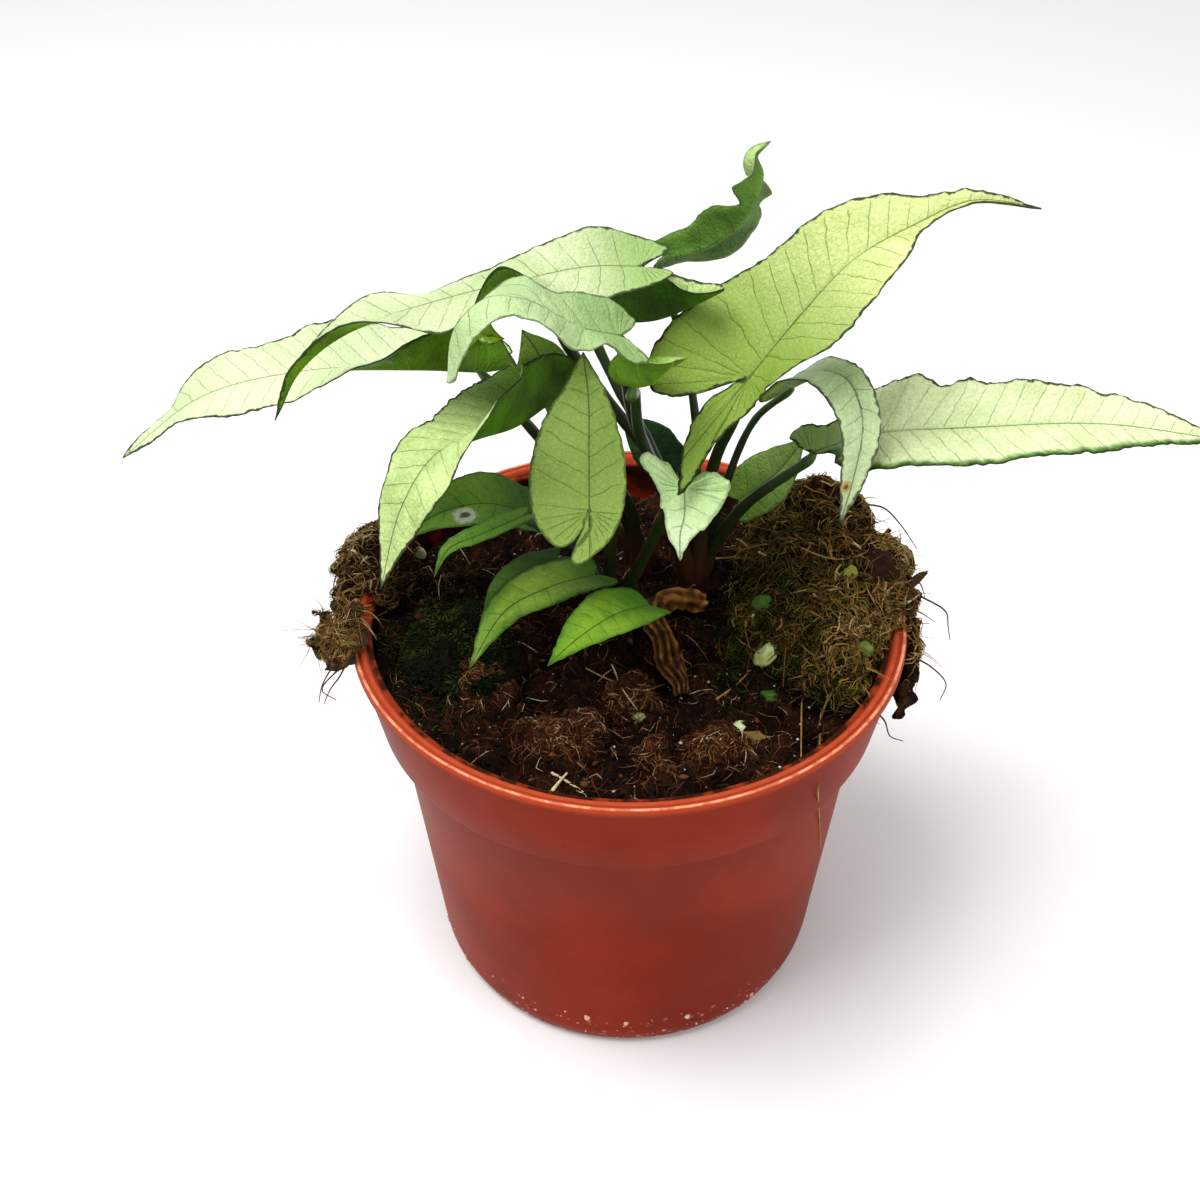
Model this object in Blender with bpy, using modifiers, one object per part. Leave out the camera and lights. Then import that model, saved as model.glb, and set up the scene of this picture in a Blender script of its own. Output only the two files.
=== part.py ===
"""Arrowhead plant: a pale-leaved aroid house plant with narrow waved leaves, in a plastic nursery pot.

Metres, +Z up. The origin is the middle of the pot's underside. The plant is three plantlets, each a
crown of petioles with leaves of its own, in peat with a root mat, a root clump and moss on top.
Lengths in the tables below are millimetres, and MM turns them into metres.
"""
import math
import random

import bmesh
import bpy
import numpy as np
from mathutils import Vector, noise
from mathutils.bvhtree import BVHTree

MM = 0.001

# Driving dimensions of the pot, in mm
RIM_R = 60.0
POT_H = 96.0
LIP_IN_R = 55.5
LIP_H = 2.2
COLLAR_LOW_R = 56.0
COLLAR_LOW_Z = 74.5
BODY_TOP_R = 52.2
BODY_LOW_R = 46.3
BODY_LOW_Z = 4.5
FOOT_R = 43.5
WALL = 1.2
FLOOR = 1.6
DRAIN_COUNT = 8
DRAIN_R = 4.0
DRAIN_RING_R = 35.0
POT_STEPS = 40
COLLAR_RISE = 1.0

# Driving dimensions of the filling and the leaves, in mm
GAP = 0.3
SOIL_LEVEL = 87.0
SOIL_RINGS = (48.0, 40.0, 31.0, 22.0, 13.0, 5.0)
MOSS_GAP = 0.7
CROWN_R = 4.2
CROWN_LOW_Z = 74.0
BLADE_THICK = 0.8
BLADE_MERGE = 0.02
SHORT_EDGE = 0.05
FLAT_BASE = 6.0
LOBE_EASE = 0.6
VEIN_LEAN = 0.55
WAVE_SHIFT = 1.7
WIDE_LEAF = 13.0
STALK_LOW_R = 1.5
STALK_TOP_R = 0.9
STALK_STEPS = 9
CROWN_TOP_Z = 97.0
SHEATH_R = 1.7

# How finely curves are sampled, and how near two points are welded, in metres
CURVE_SAMPLES = 300
RIB_SAMPLES = 90
WELD = 0.00001
FINE_WELD = 0.0000001

# Colours as seen on the plant, 0 to 1
PALE = (0.78, 0.90, 0.60)
PALE_WARM = (0.76, 0.90, 0.50)
MID = (0.62, 0.74, 0.36)
OLIVE = (0.42, 0.55, 0.18)
DARK = (0.22, 0.36, 0.14)
FRESH = (0.42, 0.62, 0.17)


def linear(colour):
    """Turn a display colour into the linear one that a shader takes."""
    return tuple(c / 12.92 if c <= 0.04045 else ((c + 0.055) / 1.055) ** 2.4 for c in colour)


def material(name, colour, roughness, metallic=0.0):
    """A Principled material with the part's own colour and finish."""
    mat = bpy.data.materials.new(name)
    mat.use_nodes = True
    shader = mat.node_tree.nodes["Principled BSDF"]
    shader.inputs["Base Color"].default_value = (*linear(colour), 1.0)
    shader.inputs["Roughness"].default_value = roughness
    shader.inputs["Metallic"].default_value = metallic
    return mat


def start_scene():
    """Empty the scene and make the two collections."""
    for obj in list(bpy.data.objects):
        bpy.data.objects.remove(obj, do_unlink=True)
    made = []
    for name in ("arrowhead_plant", "cutters"):
        collection = bpy.data.collections.new(name)
        bpy.context.scene.collection.children.link(collection)
        made.append(collection)
    return made


def add_object(name, data, collection, mat=None):
    """Link new data to the scene under a name."""
    obj = bpy.data.objects.new(name, data)
    collection.objects.link(obj)
    if mat is not None:
        data.materials.append(mat)
    return obj


def as_mesh(obj, collection, weld=WELD):
    """Replace an object by the mesh that it evaluates to, with its seams and caps welded."""
    depsgraph = bpy.context.evaluated_depsgraph_get()
    mesh = bpy.data.meshes.new_from_object(obj.evaluated_get(depsgraph))
    work = bmesh.new()
    work.from_mesh(mesh)
    bmesh.ops.remove_doubles(work, verts=work.verts, dist=weld)
    bmesh.ops.recalc_face_normals(work, faces=work.faces)
    work.to_mesh(mesh)
    work.free()
    solid = bpy.data.objects.new(obj.name + "_mesh", mesh)
    solid.matrix_world = obj.matrix_world
    collection.objects.link(solid)
    bpy.data.objects.remove(obj, do_unlink=True)
    return solid


def turned(name, profile, steps, collection, mat=None):
    """A profile of (radius, height) points in mm, spun round the vertical axis by a Screw modifier."""
    mesh = bpy.data.meshes.new(name)
    work = bmesh.new()
    verts = [work.verts.new((r * MM, 0.0, z * MM)) for r, z in profile]
    for first, second in zip(verts, verts[1:]):
        work.edges.new((first, second))
    work.to_mesh(mesh)
    work.free()
    obj = add_object(name, mesh, collection, mat)
    spin = obj.modifiers.new("spin", "SCREW")
    spin.steps = steps
    spin.render_steps = steps
    spin.use_merge_vertices = True
    spin.merge_threshold = WELD
    return obj


def cylinder(name, radius, low, high, place, collection, sides=16):
    """A plain upright cylinder in mm, placed by its location."""
    mesh = bpy.data.meshes.new(name)
    work = bmesh.new()
    bmesh.ops.create_cone(work, cap_ends=True, segments=sides, radius1=radius * MM,
                          radius2=radius * MM, depth=(high - low) * MM)
    work.to_mesh(mesh)
    work.free()
    obj = add_object(name, mesh, collection)
    obj.location = (place[0] * MM, place[1] * MM, (low + high) / 2 * MM)
    return obj


def boolean(obj, operand, kind):
    """Cut an object with another one, or join it to a collection."""
    modifier = obj.modifiers.new(kind.lower(), "BOOLEAN")
    modifier.operation = kind
    modifier.solver = "EXACT"
    if isinstance(operand, bpy.types.Collection):
        modifier.operand_type = "COLLECTION"
        modifier.collection = operand
    else:
        modifier.object = operand
    return modifier


def fuse(name, pieces, collection, mat):
    """Join closed meshes into one body with a Boolean union, then drop the pieces."""
    first, rest = pieces[0], pieces[1:]
    group = bpy.data.collections.new(name + "_pieces")
    bpy.context.scene.collection.children.link(group)
    for piece in rest:
        for home in piece.users_collection:
            home.objects.unlink(piece)
        group.objects.link(piece)
    union = boolean(first, group, "UNION")
    union.solver = "MANIFOLD"
    solid = as_mesh(first, collection)
    solid.name = name
    solid.data.name = name
    solid.data.materials.clear()
    solid.data.materials.append(mat)
    for piece in list(group.objects):
        bpy.data.objects.remove(piece, do_unlink=True)
    bpy.data.collections.remove(group)
    return solid


def keep_largest(obj):
    """Drop the loose scraps that a cut leaves beside the main body."""
    work = bmesh.new()
    work.from_mesh(obj.data)
    islands = []
    waiting = set(work.verts)
    while waiting:
        stack = [waiting.pop()]
        island = set(stack)
        while stack:
            for edge in stack.pop().link_edges:
                for vert in edge.verts:
                    if vert in waiting:
                        waiting.remove(vert)
                        island.add(vert)
                        stack.append(vert)
        islands.append(island)
    islands.sort(key=len, reverse=True)
    for island in islands[1:]:
        bmesh.ops.delete(work, geom=list(island), context="VERTS")
    bmesh.ops.triangulate(work, faces=work.faces)
    bmesh.ops.dissolve_degenerate(work, edges=work.edges, dist=SHORT_EDGE * MM)
    bmesh.ops.triangulate(work, faces=work.faces)
    work.to_mesh(obj.data)
    work.free()


def hide_cutters(collection):
    """Show the cutters as wires and leave them out of renders."""
    for obj in collection.objects:
        obj.hide_render = True
        obj.display_type = "WIRE"


# Curves and the leaf surface

def unit(vectors):
    """Vectors of length one."""
    return vectors / np.maximum(np.linalg.norm(vectors, axis=-1, keepdims=True), 1e-9)


def smooth_path(points, count):
    """A curve through the points, sampled at equal steps of its length, and that length."""
    points = np.asarray(points, float)
    chord = np.linalg.norm(np.diff(points, axis=0), axis=1) ** 0.5
    knots = np.concatenate([[0.0], np.cumsum(chord)])
    gap = np.diff(knots)[:, None]
    slope = np.diff(points, axis=0) / gap
    tangent = np.empty_like(points)
    tangent[1:-1] = (slope[1:] * gap[:-1] + slope[:-1] * gap[1:]) / (gap[:-1] + gap[1:])
    tangent[0] = slope[0]
    tangent[-1] = slope[-1]
    fine = np.linspace(0.0, knots[-1], CURVE_SAMPLES)
    span = np.clip(np.searchsorted(knots, fine, side="right") - 1, 0, len(points) - 2)
    width = gap[span]
    t = ((fine - knots[span]) / width[:, 0])[:, None]
    dense = (
        (2 * t**3 - 3 * t**2 + 1) * points[span]
        + (t**3 - 2 * t**2 + t) * width * tangent[span]
        + (3 * t**2 - 2 * t**3) * points[span + 1]
        + (t**3 - t**2) * width * tangent[span + 1]
    )
    run = np.concatenate([[0.0], np.cumsum(np.linalg.norm(np.diff(dense, axis=0), axis=1))])
    even = np.linspace(0.0, run[-1], count)
    path = np.stack([np.interp(even, run, dense[:, axis]) for axis in range(3)], axis=1)
    return path, run[-1]


def ramp(values, at):
    """Values spread evenly from 0 to 1, read between them."""
    return np.interp(at, np.linspace(0.0, 1.0, len(values)), values)


def rib_frame(leaf):
    """The midrib of a leaf, with its direction, the side its upper face looks to, and its right."""
    rib, length = smooth_path(leaf["rib"], RIB_SAMPLES)
    along = unit(np.gradient(rib, axis=0))
    up = np.zeros_like(rib)
    look = np.array(leaf["face"], float)
    for index, direction in enumerate(along):
        look = unit(look - direction * (look @ direction))
        up[index] = look
    turn = np.radians(ramp(leaf.get("twist", (0, 0)), np.linspace(0, 1, len(rib))))[:, None]
    right = np.cross(along, up)
    up = up * np.cos(turn) + right * np.sin(turn)
    return rib, length, along, up, np.cross(along, up)


def half_outline(leaf, side, rows):
    """One half's margin from the petiole round the lobe to the tip, as shares of length and width."""
    lobe = leaf.get("lobe_" + side, leaf.get("lobe", 0.1))
    back = leaf.get("back_" + side, leaf.get("back", 0.55))
    inner = leaf.get("inner_" + side, 0.42 * back)
    widest = leaf.get("widest_" + side, leaf.get("widest", 0.25))
    belly = leaf.get("belly", 2.0)
    taper = leaf.get("taper", 1.2)
    points = [(0, 0), (-0.62 * lobe, inner), (-lobe, back), (-0.55 * lobe, 0.5 + 0.5 * back), (widest, 1)]
    for share in np.linspace(0, 1, 7)[1:]:
        points.append((widest + (1 - widest) * share, max(0.0, 1 - share**belly) ** taper))
    flat = 0.35
    path, _ = smooth_path([(s, t * flat, 0) for s, t in points], rows + 1)
    return path[1:, 0], np.maximum(path[1:, 1] / flat, 0)


def leaf_surface(leaf, rows, columns):
    """Points of a leaf's upper face and where its normal looks, in rows from petiole to tip."""
    rib, length, along, up, right = rib_frame(leaf)
    half = leaf["width"] / 2
    grid = np.zeros((rows, 2 * columns + 1, 3))
    facing = np.zeros_like(grid)
    for sign, side in ((-1, "left"), (1, "right")):
        reach = half * leaf.get("share_" + side, 1.0)
        margin_s, margin_t = half_outline(leaf, side, rows)
        vein = VEIN_LEAN * margin_t * reach / length * np.clip(4 * margin_s, 0, 1)
        inner_s = np.clip(margin_s - vein, 0, 1)
        fold = leaf.get("fold_" + side, leaf.get("fold", (10, 10)))
        for column in range(columns + 1):
            out = column / columns
            s = inner_s * (1 - out) + margin_s * out
            t = margin_t * out * reach
            on_rib = np.clip(s, 0, 1)
            place = on_rib * (len(rib) - 1)
            low = np.clip(place.astype(int), 0, len(rib) - 2)
            part = (place - low)[:, None]
            here, ahead, above, beside = (
                values[low] * (1 - part) + values[low + 1] * part for values in (rib, along, up, right)
            )
            from_petiole = np.hypot(s * length, t)
            lobe_share = 1 - LOBE_EASE * np.clip(-s * length / FLAT_BASE, 0, 1)
            angle = np.radians(ramp(fold, on_rib)) * np.clip(from_petiole / FLAT_BASE, 0, 1) * lobe_share
            lift = t * np.sin(angle)
            for ripple_side, centre, height, spread in leaf.get("ripples", ()):
                if ripple_side == side:
                    lift = lift + height * out**1.5 * np.exp(-(((margin_s - centre) / spread) ** 2))
            turns = 2 * math.pi * leaf.get("waves", 3) * np.linspace(0, 1, rows)
            turns = turns + WAVE_SHIFT * (side == "right")
            swell = np.sqrt(np.sin(math.pi * np.linspace(0, 1, rows)).clip(0, 1))
            lift = lift + leaf.get("wave", 0) * out**1.6 * swell * np.sin(turns)
            behind = np.minimum(s, 0) * length
            above, beside = unit(above), unit(beside) * sign
            grid[:, columns + sign * column] = (
                here
                + unit(ahead) * behind[:, None]
                + beside * (t * np.cos(angle))[:, None]
                + above * lift[:, None]
            )
            bend = (angle * min(1, 2 * out))[:, None]
            facing[:, columns + sign * column] = above * np.cos(bend) - beside * np.sin(bend)
    return grid, facing


def make_blade(name, leaf, collection, mat):
    """A leaf blade: a grid shaped by the leaf formula, split into triangles and extruded to a sheet."""
    columns, rows = (3, 18) if leaf["width"] > WIDE_LEAF else (2, 12)
    grid, facing = leaf_surface(leaf, rows, columns)
    mesh = bpy.data.meshes.new(name)
    work = bmesh.new()
    bmesh.ops.create_grid(work, x_segments=2 * columns, y_segments=rows - 1, size=1.0)
    column_of = work.verts.layers.int.new("column")
    row_of = work.verts.layers.int.new("row")
    for vert in work.verts:
        vert[column_of] = round((vert.co.x + 1) / 2 * 2 * columns)
        vert[row_of] = round((vert.co.y + 1) / 2 * (rows - 1))
        vert.co = Vector(grid[vert[row_of], vert[column_of]]) * MM
    bmesh.ops.remove_doubles(work, verts=work.verts, dist=BLADE_MERGE * MM)
    bmesh.ops.triangulate(work, faces=work.faces, quad_method="FIXED")
    extruded = bmesh.ops.extrude_face_region(work, geom=work.faces[:], use_keep_orig=True)
    for vert in extruded["geom"]:
        if isinstance(vert, bmesh.types.BMVert):
            vert.co -= Vector(facing[vert[row_of], vert[column_of]]) * BLADE_THICK * MM
    bmesh.ops.triangulate(work, faces=work.faces, quad_method="FIXED")
    bmesh.ops.recalc_face_normals(work, faces=work.faces)
    for face in work.faces:
        face.smooth = True
    work.to_mesh(mesh)
    work.free()
    return add_object(name, mesh, collection, mat)


def tube(name, path, low_r, top_r, collection, bevel=1):
    """A round stalk or root along a path in mm, thinner toward its end, as a closed mesh."""
    curve = bpy.data.curves.new(name, "CURVE")
    curve.dimensions = "3D"
    curve.bevel_depth = MM
    curve.bevel_resolution = bevel
    curve.use_fill_caps = True
    spline = curve.splines.new("POLY")
    spline.points.add(len(path) - 1)
    for index, place in enumerate(path):
        share = index / (len(path) - 1)
        spline.points[index].co = (*(Vector(place) * MM), 1.0)
        spline.points[index].radius = low_r + (top_r - low_r) * share
    return as_mesh(add_object(name, curve, collection), collection)


# The three crowns, and the leaves that grow from each

CROWNS = {
    "right": (15, 15),
    "left": (4, 23),
    "front": (-4, 8),
}

LEAVES = {
    "leaf_far_left": dict(
        crown="left", colour=PALE, via=[(-10, 24, 110), (-22, 21, 130)],
        rib=[(-30, 16, 146), (-43, 12, 149), (-64, 4, 153), (-83, 0, 150), (-101, -2, 137)],
        width=25, share_left=0.9, widest=0.25, belly=2.4, face=(0, -0.1, 1),
        fold_left=(95, 60, 0, 0, 10), fold_right=(20, 10, 5, 0, 0), wave=1.2, waves=4),
    "leaf_top": dict(
        crown="right", colour=PALE, via=[(8, 17, 118), (-5, 18, 138), (-14, 13, 158), (-9, 6, 170)], rise=3,
        rib=[(2, 4, 175), (-8, 2, 176), (-20, -1, 175), (-37, -4, 172), (-53, -8, 168), (-62, -10, 161),
             (-67, -12, 152)],
        width=20, lobe=0.12, widest=0.15, belly=3.0, back=0.6, face=(0, -0.1, 1),
        fold_left=(0, 0, 0, 15, 50, 70, 60), fold_right=(0, 0),
        ripples=[("left", 0.36, 6, 0.06), ("left", 0.55, -1, 0.1), ("right", 0.5, -2, 0.06)]),
    "leaf_under_top": dict(
        crown="right", colour=OLIVE, via=[(6, 13, 125), (-3, 13, 145)], rise=4,
        rib=[(-6, 12, 160), (4, 8, 162), (12, 3, 168), (17, -1, 173)],
        width=18, widest=0.3, belly=3.0, face=(0, 0, 1),
        fold_right=(80, 85, 70, 10), fold_left=(60, 60, 50, 20)),
    "leaf_front_top": dict(
        crown="right", colour=PALE, via=[(8, 10, 118), (1, 6, 140), (-1, 2, 155), (-2, -8, 166)], rise=3,
        rib=[(-2, -18, 173), (-9, -22, 177), (-18, -26, 183), (-24, -29, 184), (-29, -31, 180),
             (-31, -31, 171)],
        width=15, share_right=0.6, lobe=0.12, widest=0.2, belly=2.6, back=0.6, face=(0, -0.2, 1),
        ripples=[("left", 0.45, 3, 0.12), ("left", 0.25, -2, 0.08), ("right", 0.6, -2, 0.05)]),
    "leaf_back_small": dict(
        crown="left", colour=MID, via=[(-3, 20, 112), (-12, 17, 134)],
        rib=[(-17, 12, 146), (-18, 11, 152), (-21, 10, 158)],
        width=11, widest=0.2, face=(0, -0.8, 0.6)),
    "leaf_middle_right": dict(
        crown="right", colour=OLIVE, via=[(9, 9, 115), (2, 5, 138), (1, 0, 150)], rise=3,
        rib=[(0, -8, 157), (3, -12, 160), (5, -16, 164), (7, -20, 169)],
        width=14, widest=0.3, belly=3.0, face=(0, 0, 1),
        fold_right=(80, 80, 60, 0), fold_left=(30, 20, 10, 0)),
    "leaf_left_arched": dict(
        crown="left", colour=PALE, via=[(0, 16, 112), (-9, 9, 130)],
        rib=[(-16, 2, 147), (-22, -9, 149), (-29, -18, 152), (-36, -24, 152), (-42, -30, 145),
             (-47, -34, 129)],
        width=24, widest=0.2, belly=2.2, face=(0, 0, 1),
        fold_left=(88, 88, 55, 0, -10, 0), fold_right=(30, 20, 0, 0, 0, 0)),
    "leaf_front_upright": dict(
        crown="front", colour=MID, via=[(-4, 0, 108), (-4, -8, 124)],
        rib=[(-8, -20, 136), (-8, -12, 145), (-8, -5, 151), (-9, 2, 158)],
        width=24, share_right=0.68, lobe_left=0.26, lobe_right=0.3, back_left=0.6, back_right=0.35,
        widest=0.2, belly=2.2, taper=1.0, face=(0, -0.9, 0.4)),
    "leaf_low_left": dict(
        crown="front", colour=DARK, via=[(-10, 13, 101)],
        rib=[(-20, 16, 109), (-31, 12, 115), (-41, 8, 115), (-49, 5, 110)],
        width=16, widest=0.3, face=(0, -0.2, 1)),
    "leaf_low_left_narrow": dict(
        crown="front", colour=OLIVE, via=[(-11, 5, 106)],
        rib=[(-22, 2, 119), (-30, -4, 119), (-37, -8, 118), (-40, -12, 114)],
        width=5, widest=0.3, face=(0, -0.2, 1)),
    "leaf_front_left": dict(
        crown="front", colour=FRESH, via=[(-4, 1, 100)],
        rib=[(-7, -4, 108), (-16, -14, 113), (-25, -23, 114), (-32, -32, 107)],
        width=12, lobe=0.08, widest=0.25, face=(0, -0.2, 1)),
    "leaf_front_left_narrow": dict(
        crown="front", colour=DARK, via=[(-9, 5, 100)],
        rib=[(-15, 2, 108), (-23, -6, 110), (-28, -12, 109), (-30, -16, 107)],
        width=7, widest=0.3, face=(0, -0.2, 1)),
    "leaf_front_low": dict(
        crown="front", colour=FRESH, via=[(1, 0, 98)],
        rib=[(4, -14, 108), (-3, -24, 114), (-10, -33, 116), (-16, -41, 116)],
        width=13, lobe=0.04, widest=0.3, face=(0, -0.2, 1)),
    "leaf_centre_young": dict(
        crown="front", colour=PALE, via=[(1, 0, 104), (7, -6, 124)],
        rib=[(10, -18, 140), (10, -22, 137), (9, -26, 135), (9, -29, 131)],
        width=17, lobe_left=0.45, lobe_right=0.2, widest=-0.05, belly=1.3, taper=1.3, back=0.9,
        face=(0, -0.8, 0.6)),
    "leaf_right_large": dict(
        crown="right", colour=PALE_WARM, via=[(18, 11, 125), (21, 4, 141)],
        rib=[(22, -8, 158), (31, -2, 167), (41, 2, 177), (52, 4, 183), (62, 5, 187), (75, 6, 185)],
        width=42, share_right=0.8, lobe_left=0.2, lobe_right=0.36, widest_left=0.04, widest_right=0.25,
        belly=1.3, taper=1.4, back_left=0.75, back_right=0.42, inner_right=0.12, face=(-0.35, -0.6, 0.7),
        fold_left=(0, 0), fold_right=(42, 48, 42, 40, 40)),
    "leaf_right_hanging": dict(
        crown="right", colour=MID, via=[(22, 18, 117), (27, 18, 132)],
        rib=[(33, 14, 143), (38, 6, 151), (42, -4, 154), (44, -10, 149), (43, -13, 139), (41, -15, 129)],
        width=9.5, lobe=0.06, widest=0.3, belly=2.4, face=(0.2, -0.3, 1), fold=(20, 20)),
    "leaf_far_right": dict(
        crown="right", colour=PALE, via=[(24, 11, 113)],
        rib=[(37, 4, 133), (48, 0, 140), (66, -4, 144), (91, -6, 146), (116, -6, 142)],
        width=22, share_right=1.1, lobe=0.03, widest=0.2, belly=3.0, taper=1.0, face=(0, -0.25, 1),
        wave=1.0, waves=5),
    "leaf_right_low": dict(
        crown="right", colour=OLIVE, via=[],
        rib=[(25, 22, 108), (32, 20, 116), (38, 18, 127)],
        width=13, widest=0.3, face=(0, -0.6, 0.8)),
    "leaf_top_young": dict(
        crown="right", colour=OLIVE, via=[(15, 19, 125), (11, 20, 150)],
        rib=[(7, 18, 170), (15, 16, 173), (21, 14, 179), (23, 13, 184), (24, 14, 188), (23, 16, 191),
             (26, 18, 193)],
        width=9.5, widest=0.3, belly=3.0, taper=1.0, face=(-0.3, 1, 0.2), twist=(0, 0, 20, 150),
        fold=(20, 20)),
    "leaf_back_dark": dict(
        crown="right", colour=DARK, via=[(14, 24, 104)],
        rib=[(11, 27, 112), (5, 27, 120), (-1, 27, 127)],
        width=11, widest=0.4, face=(0, -0.7, 0.7)),
}


def stalk_path(leaf, start):
    """A petiole's route: up out of the crown, past its via points, and to the blade from below."""
    rib, _, _, up, _ = rib_frame(leaf)
    end = rib[0] - up[0] * (BLADE_THICK + GAP + 0.1)
    approach = rib[0] - up[0] * leaf.get("rise", 5)
    points = [start, (start[0], start[1], 90), *leaf["via"], approach]
    path, _ = smooth_path(points, STALK_STEPS)
    return [*path, end]


def make_stems(crown, collection, mat):
    """A crown with the petioles of its leaves, fused into one body."""
    x, y = CROWNS[crown]
    top = CROWN_TOP_Z
    profile = [(0, top), (0.6 * CROWN_R, top - 1), (0.85 * CROWN_R, top - 4), (CROWN_R, top - 9),
               (CROWN_R, CROWN_LOW_Z), (0, CROWN_LOW_Z)]
    base = turned(crown + "_crown", profile, 12, collection)
    base.location = (x * MM, y * MM, 0)
    pieces = [as_mesh(base, collection)]
    leaves = [leaf for leaf in LEAVES.values() if leaf["crown"] == crown]
    for index, leaf in enumerate(leaves):
        toward = math.atan2(leaf["rib"][0][1] - y, leaf["rib"][0][0] - x)
        ring = 1.2 + 0.25 * (index % 3)
        start = (x + ring * math.cos(toward), y + ring * math.sin(toward), 80 + 0.4 * index)
        pieces.append(tube("stalk", stalk_path(leaf, start), STALK_LOW_R, STALK_TOP_R, collection))
    return fuse("stems_" + crown, pieces, collection, mat)


# Pot, soil and what lies on the soil

def make_pot(collection, cutters, mat):
    """The thin-walled nursery pot, with its lipped rim, stepped collar and drain holes."""
    lip_low = POT_H - LIP_H
    collar_top_r = RIM_R - COLLAR_RISE
    profile = [
        (0, FLOOR),
        (FOOT_R - 1.5, FLOOR),
        (BODY_LOW_R - WALL, BODY_LOW_Z + 1),
        (BODY_TOP_R - WALL, COLLAR_LOW_Z - 1),
        (COLLAR_LOW_R - WALL, COLLAR_LOW_Z + 1),
        (collar_top_r - WALL, lip_low),
        (LIP_IN_R, lip_low + 0.3),
        (LIP_IN_R, POT_H - 0.8),
        (LIP_IN_R + 0.6, POT_H - 0.3),
        (LIP_IN_R + 1.6, POT_H - 0.5),
        (RIM_R - 1.6, POT_H),
        (RIM_R - 0.4, POT_H - 0.2),
        (RIM_R, POT_H - 0.8),
        (RIM_R, lip_low + 0.2),
        (collar_top_r, lip_low - 0.4),
        (COLLAR_LOW_R, COLLAR_LOW_Z + 0.6),
        (COLLAR_LOW_R - 0.6, COLLAR_LOW_Z),
        (BODY_TOP_R, COLLAR_LOW_Z - 0.8),
        (BODY_LOW_R, BODY_LOW_Z),
        (BODY_LOW_R - 0.7, 2.0),
        (FOOT_R, 0.5),
        (FOOT_R - 1.0, 0),
        (0, 0),
    ]
    pot = turned("pot", profile[::-1], POT_STEPS, collection, mat)
    for index in range(DRAIN_COUNT):
        turn = 2 * math.pi * (index + 0.5) / DRAIN_COUNT
        place = (DRAIN_RING_R * math.cos(turn), DRAIN_RING_R * math.sin(turn))
        boolean(pot, cylinder("drain_cutter", DRAIN_R, -2, 4, place, cutters, 12), "DIFFERENCE")
    return pot


def soil_top(x, y):
    """Height of the peat at a place, in mm: low in front, heaped round the crowns, lumpy all over."""
    heap = 4.5 * math.exp(-((x - 6) ** 2 + (y - 12) ** 2) / 1000)
    left = 3.0 / (1 + math.exp((x + 34) / 5))
    lumps = 1.0 * math.sin(0.23 * x + 1) * math.cos(0.19 * y) + 0.8 * math.sin(0.41 * x - 0.33 * y + 2)
    fine = 0.9 * noise.noise(Vector((x, y, 3)) * 0.16)
    return SOIL_LEVEL + heap + left + lumps + fine


def raised_turned(name, wall_profile, clearance, collection, mat=None):
    """A turned body whose top rings follow the peat's height."""
    mark = 200.0
    rings = [(radius, mark) for radius in (*SOIL_RINGS[::-1], LIP_IN_R - 0.4)]
    obj = turned(name, [(0, mark), *rings, *wall_profile], POT_STEPS, collection, mat)
    solid = as_mesh(obj, collection)
    solid.name = name
    work = bmesh.new()
    work.from_mesh(solid.data)
    for vert in work.verts:
        if vert.co.z > 0.9 * mark * MM:
            vert.co.z = (soil_top(vert.co.x / MM, vert.co.y / MM) + clearance) * MM
    bmesh.ops.triangulate(work, faces=work.faces, quad_method="FIXED")
    work.to_mesh(solid.data)
    work.free()
    return solid


def make_soil(collection, cutters, mat):
    """The peat that fills the pot, with a plain hole for each crown."""
    wall = [
        (LIP_IN_R - 0.4, 80.0),
        (COLLAR_LOW_R - WALL - 0.5, COLLAR_LOW_Z + 2.5),
        (BODY_TOP_R - WALL - 0.4, COLLAR_LOW_Z),
        (BODY_LOW_R - WALL - 0.4, BODY_LOW_Z + 1.2),
        (FOOT_R - 2.2, FLOOR + GAP),
        (0, FLOOR + GAP),
    ]
    soil = raised_turned("soil", wall, 0.0, collection, mat)
    for crown, place in CROWNS.items():
        hole = cylinder(crown + "_hole", CROWN_R + GAP, CROWN_LOW_Z - GAP, 110, place, cutters, 16)
        boolean(soil, hole, "DIFFERENCE")
    return soil


def make_clearance(cutters):
    """A body over the peat and the rim that keeps what lies on them just clear."""
    wall = [(LIP_IN_R - 0.4, POT_H + GAP), (RIM_R + GAP, POT_H + GAP), (RIM_R + GAP, 60), (0, 60)]
    return raised_turned("clearance", wall, GAP, cutters)


def lump(name, centre, radii, rough, seed, collection, floor=None):
    """A rough lump: a ball drawn out to three radii, pushed in and out by noise, settled on a floor."""
    mesh = bpy.data.meshes.new(name)
    work = bmesh.new()
    bmesh.ops.create_uvsphere(work, u_segments=20, v_segments=10, radius=1.0)
    for vert in work.verts:
        push = 1 + rough * noise.noise(vert.co * 2.1 + Vector((seed, 0, 0)))
        push += 0.5 * rough * noise.noise(vert.co * 5.3 + Vector((0, seed, 0)))
        vert.co = Vector(centre) * MM + Vector([vert.co[i] * push * radii[i] * MM for i in range(3)])
        if floor:
            vert.co.z = max(vert.co.z, floor(vert.co.x / MM, vert.co.y / MM) * MM)
    work.to_mesh(mesh)
    work.free()
    return add_object(name, mesh, collection)


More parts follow.
